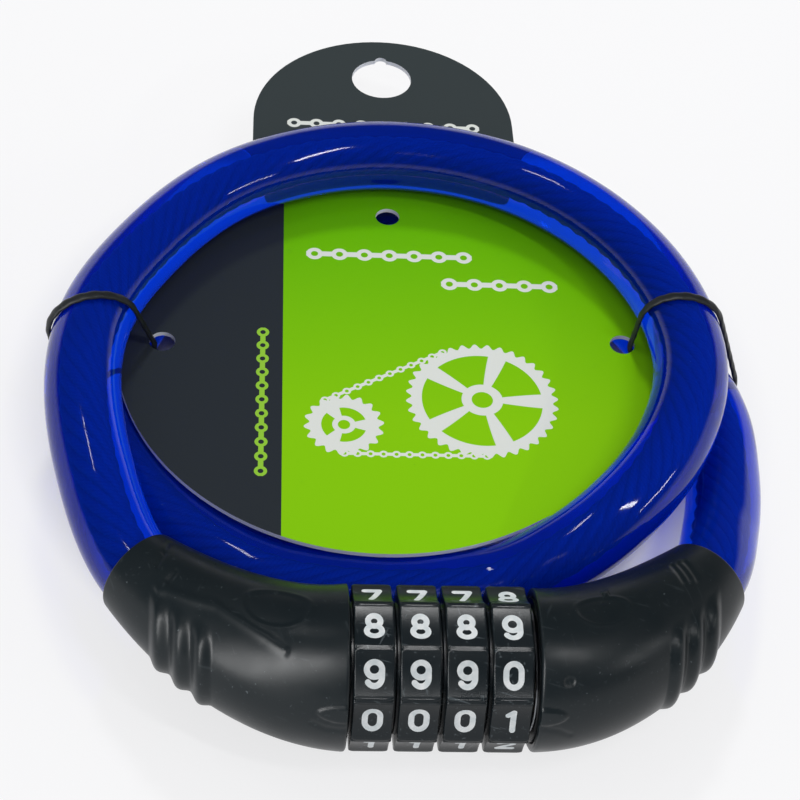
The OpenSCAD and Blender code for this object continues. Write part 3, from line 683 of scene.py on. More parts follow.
def dial(number):
    """Rows from the bore, over one side, the rim and the other side, back to the bore.
    The rim's edges are rounded by quarter circles: in by r (1 - cos), down by
    r (1 - sin)."""
    a = 2 * np.pi * np.arange(DIAL_SIDES) / DIAL_SIDES
    way = np.stack([np.zeros_like(a), -np.cos(a), np.sin(a)], axis=1)
    side = -(DIAL_PITCH - HUB_GAP) / 2
    hub_rows = [(side, None), (side, HUB_R - HUB_EDGE), (side + HUB_EDGE, HUB_R)]
    turn = np.linspace(0, np.pi / 2, RIM_ROWS)
    inwards, drops = RIM_ROUND * (1 - np.cos(turn)) * RIM_LEAN, RIM_ROUND * (1 - np.sin(turn))
    flat_run = np.linspace(-BAR_LENGTH / 2, BAR_LENGTH / 2, BAR_ROWS)
    rim = np.concatenate([
        np.stack([-RIM_W / 2 + inwards, drops], 1),
        np.stack([flat_run, np.zeros(BAR_ROWS)], 1),
        np.stack([RIM_W / 2 - inwards[::-1], drops[::-1]], 1),
    ])
    rows = []
    for along, r in hub_rows:
        rows.append((along, bore_radius(a) if r is None else np.full_like(a, r)))
    rows.append((-RIM_W / 2, np.full_like(a, HUB_R)))
    for along, drop in rim:
        rows.append((along, rim_radius(a, along) - drop))
    rows.append((RIM_W / 2, np.full_like(a, HUB_R)))
    for along, r in hub_rows[::-1]:
        rows.append((-along, bore_radius(a) if r is None else np.full_like(a, r)))
    middle = dial_middle(number)
    rings = np.stack([
        middle + np.array([along, 0, 0]) + r[:, None] * way for along, r in rows
    ])
    return skin(f"number_dial_{number}", rings, joined=True, sharp=32)


dials = [dial(number) for number in range(1, DIAL_COUNT + 1)]
for number, piece in enumerate(dials, 1):
    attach(piece, f"dial_{number}")
    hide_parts(f"dial_{number}")
print("dial faces:", len(dials[0].data.polygons))

# %% [markdown]
# ### The numbers
#
# Each flat carries one white number, drawn as one to three round-ended strokes, such
# as two ovals for an 8. A stroke is a skin like any other: rings along its middle line,
# each a flat box as wide as the stroke. The flat result is then laid onto the hollow
# flat, a few hundredths of a millimetre proud.

# %% Middle lines of the numbers
DIGIT_H, DIGIT_W, STROKE = 4.15 * MM, 2.98 * MM, 0.84 * MM
DIGIT_PROUD, DIGIT_SUNK = 0.03 * MM, 0.1 * MM
STROKE_STATIONS, END_STATIONS, END_REACH = 30, 6, 0.97
ARC_STEP = 9
# The number that stands at the read place of each dial
READ_NUMBERS = (0, 0, 0, 1)


def arc(x, y, wide, high, start, end):
    """Points on an oval, the angles in degrees anticlockwise from its right side."""
    a = np.radians(np.linspace(start, end, 2 + abs(end - start) // ARC_STEP))
    return [(x + wide * c, y + high * s) for c, s in zip(np.cos(a), np.sin(a))]


# In units of half the number's width and height, less half a stroke
NINE = [arc(0, 0.38, 1, 0.62, 0, 360), [(1, 0.38), *arc(0, -0.3, 1, 0.7, 0, -145)]]
NUMERALS = [
    [[*arc(0, 0.3, 1, 0.7, 0, 180), *arc(0, -0.3, 1, 0.7, 180, 360), (1, 0.3)]],
    [[(-0.45, 0.6), (0.25, 1)], [(0.25, 1), (0.25, -1)]],
    [[*arc(0, 0.4, 0.95, 0.6, 160, -35), (-0.95, -1)], [(-0.95, -1), (1, -1)]],
    [arc(0, 0.5, 0.85, 0.5, 150, -90), arc(0, -0.5, 1, 0.5, 90, -150)],
    [[(0.45, 1), (0.45, -1)], [(0.45, 1), (-1, -0.42)], [(-1, -0.42), (1, -0.42)]],
    [[(0.85, 1), (-0.7, 1)], [(-0.7, 1), (-0.85, 0.05)], arc(0, -0.35, 1, 0.65, 140, -145)],
    [[(-x, -y) for x, y in stroke] for stroke in NINE],
    [[(-1, 1), (1, 1)], [(1, 1), (-0.25, -1)]],
    [arc(0, 0.5, 0.82, 0.5, 90, 450), arc(0, -0.47, 1, 0.53, 90, 450)],
    NINE,
]


def stroke_rings(line):
    """Flat boxes along a line, square to it, with half circles at both ends: there the
    half width is w sqrt(1 - t^2) at t half widths past the line's end."""
    size = np.array([DIGIT_W - STROKE, DIGIT_H - STROKE]) / 2
    middle = np.array(line) * size
    along = distance_along(middle)
    even = np.linspace(0, along[-1], STROKE_STATIONS)
    middle = np.stack([np.interp(even, along, middle[:, k]) for k in (0, 1)], axis=1)
    way = unit(np.gradient(middle, axis=0))
    quarter = np.linspace(0.1, 1, END_STATIONS)[:, None] * np.pi / 2 * END_REACH
    past = np.sin(quarter) * STROKE / 2
    middle = np.concatenate([
        middle[0] - way[0] * past[::-1], middle, middle[-1] + way[-1] * past
    ])
    half = np.sqrt((STROKE / 2) ** 2 - past ** 2)
    half = np.concatenate([half[::-1], np.full((STROKE_STATIONS, 1), STROKE / 2), half])
    way = np.concatenate([
        np.repeat(way[:1], END_STATIONS, axis=0), way,
        np.repeat(way[-1:], END_STATIONS, axis=0),
    ])
    side = np.stack([-way[:, 1], way[:, 0]], axis=1) * half
    return np.stack([
        np.concatenate([middle + s * side, np.full((len(middle), 1), d)], axis=1)
        for s, d in ((-1, 0), (-1, 1), (1, 1), (1, 0))
    ], axis=1)


STROKES = [[stroke_rings(line) for line in numeral] for numeral in NUMERALS]
print("strokes:", sum(len(strokes) for strokes in STROKES))

# %% Numbers laid onto the dials
def numbers(dial_number, first):
    """All ten numbers of a dial. On the flat k steps up from the read one stands the
    number first - k; x stays, height goes up the flat, depth goes along the radius."""
    middle = dial_middle(dial_number)
    parts = []
    for k in range(FACETS):
        angle = READ_ANGLE + 2 * np.pi * k / FACETS
        out = np.array([0, -math.cos(angle), math.sin(angle)])
        rise = np.array([0, math.sin(angle), math.cos(angle)])
        for rings in STROKES[(first - k) % FACETS]:
            x, y, top = rings[..., :1], rings[..., 1:2], rings[..., 2:]
            depth = FLAT_R - hollow_at(y) - DIGIT_SUNK + (DIGIT_SUNK + DIGIT_PROUD) * top
            parts.append(middle + x * np.array([1, 0, 0]) + y * rise + depth * out)
    return skin(f"numbers_{dial_number}", parts[0], sharp=30, more=parts[1:])


number_pieces = [numbers(number, first) for number, first in enumerate(READ_NUMBERS, 1)]
for number, piece in enumerate(number_pieces, 1):
    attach(piece, f"dial_{number}")
print("number faces:", len(number_pieces[0].data.polygons))

# %% [markdown]
# ## The ties
#
# A thin black tie runs through the card's hole and round both strands. In its own
# upright plane it is a belt drawn tight round the hole's edge and both strands. The
# cord is flat and twisted, which shows as fine ridges.

# %% Belt round the strands
TIE_R, CARD_Z, CARD_T = 0.45 * MM, 13.1 * MM, 0.8 * MM
TIE_SIDES, TWIST, TIE_FLAT, HOLE_RIM = 20, 2.4 * MM, 1.9, 1.3 * MM
TIE_STATIONS, DIRECTIONS, TWIST_DEPTH = 200, 720, 0.07
WRAP_R = CABLE_R + 0.05 * MM + TIE_R
LEFT_HOLE, RIGHT_HOLE = np.array([-39, -3.7]) * MM, np.array([37.4, -1.7]) * MM


def belt(ovals, stations):
    """The tight loop round all ovals: for each outward direction the farthest point of
    any of them, then evenly spaced points along that loop."""
    a = np.linspace(0, 2 * np.pi, DIRECTIONS, endpoint=False)
    ways = np.stack([np.cos(a), np.sin(a)], axis=1)
    rim = np.concatenate([middle + half * ways for middle, half in ovals])
    loop = rim[np.argmax(rim @ ways.T, axis=0)]
    loop = np.concatenate([loop, loop[:1]])
    along = distance_along(loop)
    even = np.linspace(0, along[-1], stations, endpoint=False)
    return np.stack([np.interp(even, along, loop[:, k]) for k in (0, 1)], axis=1), along[-1]


def tie(name, hole, high_point, low_point):
    """A flat twisted cord on the belt. The tie's upright plane cuts a strand aslant, so
    its round section becomes an oval, wider by one over the sine of the slant."""
    out = unit(ROUTE[high_point][:2] - hole)
    in_hole = np.array([HOLE_RIM + 2 * TIE_R, CARD_Z + CARD_T / 2])
    ovals = [(in_hole, 2 * TIE_R * np.ones(2))]
    for i in (low_point, high_point):
        sine = abs(out[0] * HEADINGS[i][1] - out[1] * HEADINGS[i][0])
        middle = np.array([(ROUTE[i][:2] - hole) @ out, ROUTE[i][2]])
        ovals.append((middle, WRAP_R * np.array([1 / sine, 1])))
    points, total = belt(ovals, TIE_STATIONS)
    way = unit(np.roll(points, -1, axis=0) - np.roll(points, 1, axis=0))
    outward = np.stack([way[:, 1], -way[:, 0]], axis=1)
    a = 2 * np.pi * np.arange(TIE_SIDES) / TIE_SIDES
    turns = round(total / TWIST)
    phase = 2 * a - 2 * np.pi * turns * np.arange(len(points))[:, None] / len(points)
    r = TIE_R * (1 - TWIST_DEPTH + TWIST_DEPTH * np.cos(phase))
    plane = points[:, None] + (r * np.cos(a))[..., None] * outward[:, None]
    sideways = r * np.sin(a) * TIE_FLAT
    across = np.array([-out[1], out[0]])
    flat = hole + plane[..., :1] * out + sideways[..., None] * across
    return skin(name, np.concatenate([flat, plane[..., 1:]], axis=-1), joined=True, sharp=60)


# The points of the route at which each tie crosses the high and the low strand
LEFT_CROSSINGS, RIGHT_CROSSINGS = (5, 23), (11, AT_TIE)
left_tie = tie("left_twisted_tie", LEFT_HOLE, *LEFT_CROSSINGS)
right_tie = tie("right_twisted_tie", RIGHT_HOLE, *RIGHT_CROSSINGS)
for piece, node in ((left_tie, "tie_left"), (right_tie, "tie_right")):
    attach(piece, "root")
    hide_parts(node)
print("tie faces:", len(left_tie.data.polygons))

# %% [markdown]
# ## Materials
#
# Every finish is built from nodes, so it holds at any size and needs no image files.
# Two short helpers add a node and do one step of arithmetic. Effects that several
# finishes share, such as moulded grain or fine scratches, are node groups with named
# sockets. A colour is written as it looks on a screen and turned into linear light.

# %% Node helpers
def linear(red, green, blue):
    """Screen values from 0 to 255 to linear light: (c / 255) ^ 2.2 by its exact rule."""
    c = np.array([red, green, blue]) / 255
    light = np.where(c <= 0.04045, c / 12.92, ((c + 0.055) / 1.055) ** 2.4)
    return (*light.tolist(), 1.0)


def add(tree, kind, inputs=(), **settings):
    """A new node with its settings made and its inputs set or linked."""
    node = tree.nodes.new(kind)
    for key, value in settings.items():
        setattr(node, key, value)
    for socket, value in dict(inputs).items():
        if isinstance(value, bpy.types.NodeSocket):
            tree.links.new(value, node.inputs[socket])
        else:
            node.inputs[socket].default_value = value
    return node


def calc(tree, operation, a, b=0.0, c=0.0):
    """One Math node's result."""
    return add(tree, "ShaderNodeMath", {0: a, 1: b, 2: c}, operation=operation).outputs[0]


def vector_calc(tree, operation, a, b=(0.0, 0.0, 0.0), out=0):
    """One Vector Math node's result."""
    node = add(tree, "ShaderNodeVectorMath", {0: a, 1: b}, operation=operation)
    return node.outputs[out]


def blend_colour(tree, share, a, b):
    """Colour a where share is 0, and b where it is 1."""
    node = add(tree, "ShaderNodeMix", data_type="RGBA")
    for socket, value in zip((node.inputs[0], node.inputs[6], node.inputs[7]), (share, a, b)):
        if isinstance(value, bpy.types.NodeSocket):
            tree.links.new(value, socket)
        else:
            socket.default_value = value
    return node.outputs[2]


def noise(tree, place, scale, detail=2.0, rough=0.5):
    """Soft noise from 0 to 1 at a place, so many waves per metre."""
    node = add(tree, "ShaderNodeTexNoise", {
        "Vector": place, "Scale": scale, "Detail": detail, "Roughness": rough,
    })
    return node.outputs["Fac"]


def spread(tree, value, low, high, to_low=0.0, to_high=1.0):
    """Maps low..high onto to_low..to_high, held at both ends."""
    return add(tree, "ShaderNodeMapRange", {
        "Value": value, "From Min": low, "From Max": high, "To Min": to_low, "To Max": to_high,
    }).outputs[0]


def new_group(name, inputs, outputs):
    """A node group with named sockets, and its two end nodes."""
    tree = bpy.data.node_groups.new(name, "ShaderNodeTree")
    for label, kind, value in inputs:
        socket = tree.interface.new_socket(
            name=label, in_out="INPUT", socket_type=f"NodeSocket{kind}"
        )
        socket.default_value = value
    for label in outputs:
        tree.interface.new_socket(name=label, in_out="OUTPUT", socket_type="NodeSocketFloat")
    start, end = tree.nodes.new("NodeGroupInput"), tree.nodes.new("NodeGroupOutput")
    return tree, start.outputs, end.inputs


def place_group(tree, group, **inputs):
    """A group placed in a material with its own values; gives its outputs."""
    node = tree.nodes.new("ShaderNodeGroup")
    node.node_tree = group
    for label, value in inputs.items():
        socket = node.inputs[label.replace("_", " ")]
        if isinstance(value, bpy.types.NodeSocket):
            tree.links.new(value, socket)
        else:
            socket.default_value = value
    return node.outputs


def new_material(name, **values):
    """A material's tree, its Principled node with plain values set, and object places."""
    material = bpy.data.materials.new(name)
    material.use_nodes = True
    tree = material.node_tree
    shader = tree.nodes["Principled BSDF"]
    for label, value in values.items():
        shader.inputs[label.replace("_", " ")].default_value = value
    place = add(tree, "ShaderNodeTexCoord").outputs
    return material, tree, shader, place


def bump(tree, shader, height, distance):
    """Feeds a height in units of distance, in metres, into the shader's normal."""
    node = add(tree, "ShaderNodeBump", {"Height": height, "Distance": distance})
    tree.links.new(node.outputs[0], shader.inputs["Normal"])


print("middle grey of a screen in linear light:", np.round(linear(128, 128, 128), 3))

# %% [markdown]
# ### Moulded grain and scratches
#
# Plastic from a spark-eroded mould is never quite smooth: it has a fine grain, broad
# soft unevenness where it shrank, and after handling fine straight scratches and dust.

# %% Grain and scratch groups
grain, given, result = new_group("moulded_grain", [
    ("Place", "Vector", (0, 0, 0)), ("Grain", "Float", 6000.0), ("Patches", "Float", 160.0),
], ["Height", "Patch", "Speck"])
fine = noise(grain, given["Place"], given["Grain"], 3.0, 0.6)
broad = noise(grain, given["Place"], given["Patches"], 2.0)
dust = noise(grain, given["Place"], calc(grain, "MULTIPLY", given["Grain"], 0.35), 1.0)
grain.links.new(
    calc(grain, "ADD", fine, calc(grain, "MULTIPLY", broad, 1.5)), result["Height"]
)
grain.links.new(broad, result["Patch"])
grain.links.new(spread(grain, dust, 0.76, 0.8), result["Speck"])

scratches, given, result = new_group("fine_scratches", [
    ("Place", "Vector", (0, 0, 0)), ("Fineness", "Float", 1500.0), ("Stretch", "Float", 14.0),
], ["Mark"])
marks = None
for turn in (0.3, 1.4, 2.3):
    turned_place = add(scratches, "ShaderNodeVectorRotate", {
        "Vector": given["Place"], "Axis": (0.4, -0.5, 0.77), "Angle": turn,
    }).outputs[0]
    squeezed = vector_calc(scratches, "DIVIDE", turned_place, add(
        scratches, "ShaderNodeCombineXYZ", {0: given["Stretch"], 1: 1.0, 2: 1.0}
    ).outputs[0])
    line = spread(scratches, noise(scratches, squeezed, given["Fineness"], 1.0), 0.7, 0.76)
    marks = line if marks is None else calc(scratches, "MAXIMUM", marks, line)
scratches.links.new(marks, result["Mark"])
print("groups:", [g.name for g in bpy.data.node_groups])

# %% [markdown]
# ### Clear blue plastic and steel rope
#
# The sheath passes most light, bends it like soft vinyl does, and tints what lies
# behind it deep blue. A lamp's light would normally stop at a glassy surface, so rays
# that look for a lamp pass straight through with a blue tint, which lights the rope.
# The rope's strands are themselves bundles of thin wires: fine slanting ridges that
# follow the mesh's UV map, twisted the other way. The grooves between the wires are
# painted a little darker: painted shade.

# %% Sheath and rope
clear_sheath, tree, shader, place = new_material(
    "clear_blue_sheath", Transmission_Weight=0.8, IOR=1.34, Coat_Weight=0.12,
    Coat_Roughness=0.03, Coat_IOR=1.5, Base_Color=(0.0, 0.05, 0.82, 1),
)
LAMP_LIGHT_PASSED = 0.75
skin_marks = place_group(tree, grain, Place=place["Object"], Grain=900.0, Patches=90.0)
tree.links.new(
    spread(tree, skin_marks["Patch"], 0.3, 0.7, 0.03, 0.09), shader.inputs["Roughness"]
)
bump(tree, shader, skin_marks["Patch"], 0.12 * MM)
see_through = add(tree, "ShaderNodeBsdfTransparent", {"Color": (0.02, 0.1, 0.9, 1)})
shadow_ray = add(tree, "ShaderNodeLightPath").outputs["Is Shadow Ray"]
to_lamp = calc(tree, "MULTIPLY", shadow_ray, LAMP_LIGHT_PASSED)
both = add(tree, "ShaderNodeMixShader", {
    0: to_lamp, 1: shader.outputs[0], 2: see_through.outputs[0],
})
tree.links.new(both.outputs[0], tree.nodes["Material Output"].inputs["Surface"])

steel_rope, tree, shader, place = new_material(
    "steel_rope_strands", Metallic=0.25, Roughness=0.6,
)
WIRES, WIRE_LAY = 6, 5.5 * MM
around_along = add(tree, "ShaderNodeSeparateXYZ", {0: place["UV"]}).outputs
lays = calc(tree, "DIVIDE", around_along[1], WIRE_LAY)
turns = calc(tree, "SUBTRACT", around_along[0], lays)
wave = calc(tree, "SINE", calc(tree, "MULTIPLY", turns, 2 * math.pi * WIRES))
zero_to_one = calc(tree, "MULTIPLY_ADD", wave, 0.5, 0.5)
wire_height_and_groove_shade = calc(tree, "SQRT", calc(tree, "MAXIMUM", zero_to_one, 0))
# The colour darkens into the grooves between the wires: painted shade.
tree.links.new(
    blend_colour(tree, wire_height_and_groove_shade, (0.2, 0.265, 0.275, 1), (0.23, 0.3, 0.31, 1)),
    shader.inputs["Base Color"],
)
bump(tree, shader, wire_height_and_groove_shade, 0.015 * MM)
for piece in (coil_sheath, tail_sheath):
    piece.data.materials.append(clear_sheath)
for piece in (coil_rope, tail_rope):
    piece.data.materials.append(steel_rope)
print("cable finishes ready")

# %% [markdown]
# ### Black plastics, number paint and ties
#
# The body has a satin mould finish, the dials are smoother and carry the scratches of
# being turned, and the paint of the numbers is a little uneven.

# %% Black finishes
def black_plastic(name, colour, rough, grain_size, scratch_amount):
    """Satin black with grain, patches in the gloss, a few specks and scratches."""
    material, tree, shader, place = new_material(name, Specular_IOR_Level=0.26)
    surface = place_group(tree, grain, Place=place["Object"], Grain=grain_size, Patches=140.0)
    mark = place_group(tree, scratches, Place=place["Object"], Fineness=1700.0)["Mark"]
    scratched = calc(tree, "MULTIPLY", mark, scratch_amount)
    patchy = spread(tree, surface["Patch"], 0.3, 0.7, rough - 0.05, rough + 0.07)
    rubbed = calc(tree, "MULTIPLY", scratched, 0.15)
    tree.links.new(calc(tree, "SUBTRACT", patchy, rubbed), shader.inputs["Roughness"])
    dusty = calc(tree, "MAXIMUM", calc(tree, "MULTIPLY", surface["Speck"], 0.35), scratched)
    tree.links.new(
        blend_colour(tree, dusty, linear(*colour), linear(92, 100, 104)),
        shader.inputs["Base Color"],
    )
    bump(tree, shader, surface["Height"], 0.005 * MM)
    return material


black_body = black_plastic("black_satin_body", (16, 22, 25), 0.33, 5200.0, 0.06)
black_dial = black_plastic("black_dial_gloss", (12, 17, 20), 0.3, 7000.0, 0.2)
black_tie = black_plastic("black_tie_cord", (24, 26, 28), 0.4, 6000.0, 0.1)

number_paint, tree, shader, place = new_material("white_number_paint", Roughness=0.45)
surface = place_group(tree, grain, Place=place["Object"], Grain=5000.0, Patches=900.0)
worn = spread(tree, surface["Patch"], 0.35, 0.7)
tree.links.new(
    blend_colour(tree, worn, linear(214, 222, 225), linear(238, 241, 242)),
    shader.inputs["Base Color"],
)
bump(tree, shader, surface["Height"], 0.02 * MM)

for piece in (left_sleeve, right_sleeve):
    piece.data.materials.append(black_body)
for piece in dials:
    piece.data.materials.append(black_dial)
for piece in number_pieces:
    piece.data.materials.append(number_paint)
for piece in (left_tie, right_tie):
    piece.data.materials.append(black_tie)
print("black finishes ready")

# %% [markdown]
# ### Turned and plated metal
#
# The pieces inside the lock are turned or stamped. Turning leaves fine rings about the
# lock's axis: noise that changes quickly along the axis and with the radius, and
# hardly at all round it.

# %% Metals
turning, given, result = new_group("turned_rings", [
    ("Place", "Vector", (0, 0, 0)), ("Rings", "Float", 5200.0),
], ["Ring"])
from_axis = vector_calc(turning, "SUBTRACT", given["Place"], (0, LOCK_Y, LOCK_Z))
split = add(turning, "ShaderNodeSeparateXYZ", {0: from_axis}).outputs
radius = calc(turning, "SQRT", calc(
    turning, "ADD", calc(turning, "MULTIPLY", split[1], split[1]),
    calc(turning, "MULTIPLY", split[2], split[2]),
))
round_axis = calc(turning, "MULTIPLY", calc(turning, "ARCTAN2", split[2], split[1]), 0.2 * MM)
ring_place = add(
    turning, "ShaderNodeCombineXYZ", {0: split[0], 1: radius, 2: round_axis}
).outputs[0]
turning.links.new(noise(turning, ring_place, given["Rings"], 2.0), result["Ring"])


def metal(name, colour, rough, depth):
    """Metal whose gloss and height follow the turning rings."""
    material, tree, shader, place = new_material(name, Metallic=1.0)
    ring = place_group(tree, turning, Place=place["Object"])["Ring"]
    shade = tuple(0.75 * c for c in colour[:3]) + (1.0,)
    tree.links.new(blend_colour(tree, ring, shade, colour), shader.inputs["Base Color"])
    tree.links.new(
        spread(tree, ring, 0.3, 0.7, rough - 0.06, rough + 0.08), shader.inputs["Roughness"]
    )
    bump(tree, shader, ring, depth)
    return material


SLOT_METALS = {
    "plain_steel": metal("turned_steel", linear(190, 190, 192), 0.35, 0.03 * MM),
    "plated_metal": metal("nickel_plate", linear(215, 212, 205), 0.16, 0.008 * MM),
    "spring_steel": metal("spring_strip", linear(170, 173, 178), 0.28, 0.015 * MM),
    "code_ring": metal("turned_brass", linear(214, 178, 96), 0.25, 0.02 * MM),
    "black_body": black_body,
}
subparts = {part["node"]: part["material_slot"] for part in frame["record"]["subparts"]}
kept_nodes = []
for node, slot_name in subparts.items():
    if slot_name in SLOT_METALS and "sleeve" not in node:
        packed = frame["nodes"][node]
        packed.data.materials.clear()
        packed.data.materials.append(SLOT_METALS[slot_name])
        kept_nodes.append(node)
print("packed nodes with a finish:", kept_nodes)

# %% [markdown]
# ### The printed card
#
# The card is cut from laminated board: charcoal to the left and on the header, green to
# the right, a white print of a chainring, a cog and their chain, and a pale cut edge. The
# green is painted darker towards the back, as painted shade of the cable above it.
# Shapes in a print are masks: a mask is 1 inside the shape and 0 outside it, worked out
# from the distance to a centre or a line. A gear is a disc whose edge waves with the
# angle; a chain is a row of dots joined by bars.

# %% Print groups
PRINT_SOFT = 0.06 * MM
# An arm is printed where its cosine wave is above ARM_START plus ARM_TAPER per metre
ARM_SOFT, ARM_TAPER, ARM_START = 0.05, 25.0, 0.45
# A dot's bore and the place where a bar starts, in radii of the dot
DOT_BORE, BAR_START = 0.4, 0.7

gear, given, result = new_group("printed_gear", [
    ("Place", "Vector", (0, 0, 0)), ("Centre", "Vector", (0, 0, 0)),
    ("Radius", "Float", 0.01), ("Rim", "Float", 0.002), ("Teeth", "Float", 30.0),
    ("Tooth", "Float", 0.0005), ("Arms", "Float", 5.0), ("Hub", "Float", 0.003),
], ["Mask"])
from_centre = vector_calc(gear, "SUBTRACT", given["Place"], given["Centre"])
flat_place = vector_calc(gear, "MULTIPLY", from_centre, (1, 1, 0))
distance = vector_calc(gear, "LENGTH", flat_place, out=1)
split = add(gear, "ShaderNodeSeparateXYZ", {0: flat_place}).outputs
angle = calc(gear, "ARCTAN2", split[1], split[0])
tooth_wave = calc(gear, "SINE", calc(gear, "MULTIPLY", angle, given["Teeth"]))
toothed = calc(gear, "MULTIPLY_ADD", tooth_wave, given["Tooth"], given["Radius"])
in_disc = spread(gear, calc(gear, "SUBTRACT", toothed, distance), 0, PRINT_SOFT)
rim_inside = calc(gear, "SUBTRACT", given["Radius"], given["Rim"])
in_rim = spread(gear, calc(gear, "SUBTRACT", distance, rim_inside), 0, PRINT_SOFT)
arm_wave = calc(gear, "COSINE", calc(gear, "MULTIPLY", angle, given["Arms"]))
arm_edge = calc(gear, "MULTIPLY_ADD", distance, ARM_TAPER, ARM_START)
in_arm = spread(gear, calc(gear, "SUBTRACT", arm_wave, arm_edge), 0, ARM_SOFT)
in_hub = spread(gear, calc(gear, "SUBTRACT", given["Hub"], distance), 0, PRINT_SOFT)
bore_r = calc(gear, "MULTIPLY", given["Hub"], 0.5)
bore = spread(gear, calc(gear, "SUBTRACT", distance, bore_r), 0, PRINT_SOFT)
filled = calc(gear, "MAXIMUM", calc(gear, "MAXIMUM", in_rim, in_arm), in_hub)
gear.links.new(
    calc(gear, "MULTIPLY", calc(gear, "MULTIPLY", in_disc, filled), bore), result["Mask"]
)

chain, given, result = new_group("printed_chain", [
    ("Place", "Vector", (0, 0, 0)), ("Start", "Vector", (0, 0, 0)),
    ("Way", "Vector", (1, 0, 0)), ("Length", "Float", 0.02), ("Pitch", "Float", 0.003),
    ("Dot", "Float", 0.001), ("Bar", "Float", 0.0004),
], ["Mask"])


def above_zero(value):
    """1 where a distance in the chain's tree is above 0, with the print's soft edge."""
    return spread(chain, value, 0, PRINT_SOFT)


from_start = vector_calc(chain, "SUBTRACT", given["Place"], given["Start"])
offset = vector_calc(chain, "MULTIPLY", from_start, (1, 1, 0))
along = vector_calc(chain, "DOT_PRODUCT", offset, given["Way"], out=1)
sideways = vector_calc(chain, "CROSS_PRODUCT", offset, given["Way"])
away = vector_calc(chain, "LENGTH", sideways, out=1)
half_pitch = calc(chain, "MULTIPLY", given["Pitch"], 0.5)
in_pitch = calc(
    chain, "FLOORED_MODULO", calc(chain, "ADD", along, half_pitch), given["Pitch"]
)
to_dot = calc(chain, "SUBTRACT", in_pitch, half_pitch)
squares = [calc(chain, "MULTIPLY", part, part) for part in (to_dot, away)]
dot_distance = calc(chain, "SQRT", calc(chain, "ADD", *squares))
past_bore = calc(
    chain, "SUBTRACT", dot_distance, calc(chain, "MULTIPLY", given["Dot"], DOT_BORE)
)
past_dot = calc(
    chain, "SUBTRACT", dot_distance, calc(chain, "MULTIPLY", given["Dot"], BAR_START)
)
in_dot = calc(
    chain, "MULTIPLY", above_zero(calc(chain, "SUBTRACT", given["Dot"], dot_distance)),
    above_zero(past_bore),
)
in_bar = calc(
    chain, "MULTIPLY", above_zero(calc(chain, "SUBTRACT", given["Bar"], away)),
    above_zero(past_dot),
)
chain_end = calc(chain, "ADD", given["Length"], given["Dot"])
in_length = calc(
    chain, "MULTIPLY", above_zero(calc(chain, "ADD", along, given["Dot"])),
    above_zero(calc(chain, "SUBTRACT", chain_end, along)),
)
chain.links.new(
    calc(chain, "MULTIPLY", calc(chain, "MAXIMUM", in_dot, in_bar), in_length), result["Mask"]
)
print("print groups:", gear.name, chain.name)

# %% The card's material
printed_card, tree, shader, place = new_material(
    "printed_card", Roughness=0.5, Specular_IOR_Level=0.15,
)
spot = place["Object"]
split = add(tree, "ShaderNodeSeparateXYZ", {0: spot}).outputs
RING_AT, RING_R = np.array([13, -15]) * MM, 12 * MM
COG_AT, COG_R = np.array([-9.5, -21]) * MM, 6 * MM
CHAIN_PITCH = 2.1 * MM
# White rows of links: the first dot's place and the pitch in mm, and the count
LINK_ROWS = (((-14, 18.2), 7, 4.3), ((9, 11.6), 5, 4.3))
# The two ends of the green's soft edges: it lies right of the first and in front of
# the second
GREEN_FROM_X, GREEN_TO_Y = (-19.35 * MM, -19.3 * MM), (36.05 * MM, 36 * MM)


def tangent(side):
    """The straight outer run of the chain from the cog to the ring: start, way, length."""
    d = RING_AT - COG_AT
    gap = math.hypot(*d)
    lean = math.atan2(d[1], d[0]) + side * math.acos((COG_R - RING_R) / gap)
    n = np.array([math.cos(lean), math.sin(lean)])
    start, end = COG_AT + COG_R * n, RING_AT + RING_R * n
    length = math.hypot(*(end - start))
    return (*start, 0.0), (*((end - start) / length), 0.0), length


white_masks = [
    place_group(tree, gear, Place=spot, Centre=(*RING_AT, 0), Radius=RING_R, Rim=2.2 * MM,
                Teeth=36.0, Tooth=0.45 * MM, Arms=5.0, Hub=3.4 * MM)["Mask"],
    place_group(tree, gear, Place=spot, Centre=(*COG_AT, 0), Radius=COG_R, Rim=2.4 * MM,
                Teeth=18.0, Tooth=0.45 * MM, Arms=3.0, Hub=1.9 * MM)["Mask"],
]
for side in (1, -1):
    start, way, length = tangent(side)
    white_masks.append(place_group(
        tree, chain, Place=spot, Start=start, Way=way, Length=length,
        Pitch=length / round(length / CHAIN_PITCH), Dot=0.72 * MM, Bar=0.34 * MM)["Mask"])
for start, count, pitch in LINK_ROWS:
    white_masks.append(place_group(
        tree, chain, Place=spot, Start=(start[0] * MM, start[1] * MM, 0), Way=(1.0, 0.0, 0.0),
        Length=(count - 1) * pitch * MM, Pitch=pitch * MM,
        Dot=1.45 * MM, Bar=0.62 * MM)["Mask"])
white = white_masks[0]
for mask in white_masks[1:]:
    white = calc(tree, "MAXIMUM", white, mask)
green_row = place_group(
    tree, chain, Place=spot, Start=(-22.6 * MM, -31 * MM, 0), Way=(0.0, 1.0, 0.0),
    Length=30 * MM, Pitch=3 * MM, Dot=1.05 * MM, Bar=0.45 * MM)["Mask"]
header_row = place_group(
    tree, chain, Place=spot, Start=(-17.6 * MM, 53 * MM, 0), Way=(1.0, 0.0, 0.0),
    Length=33 * MM, Pitch=4.125 * MM, Dot=1.3 * MM, Bar=0.55 * MM)["Mask"]

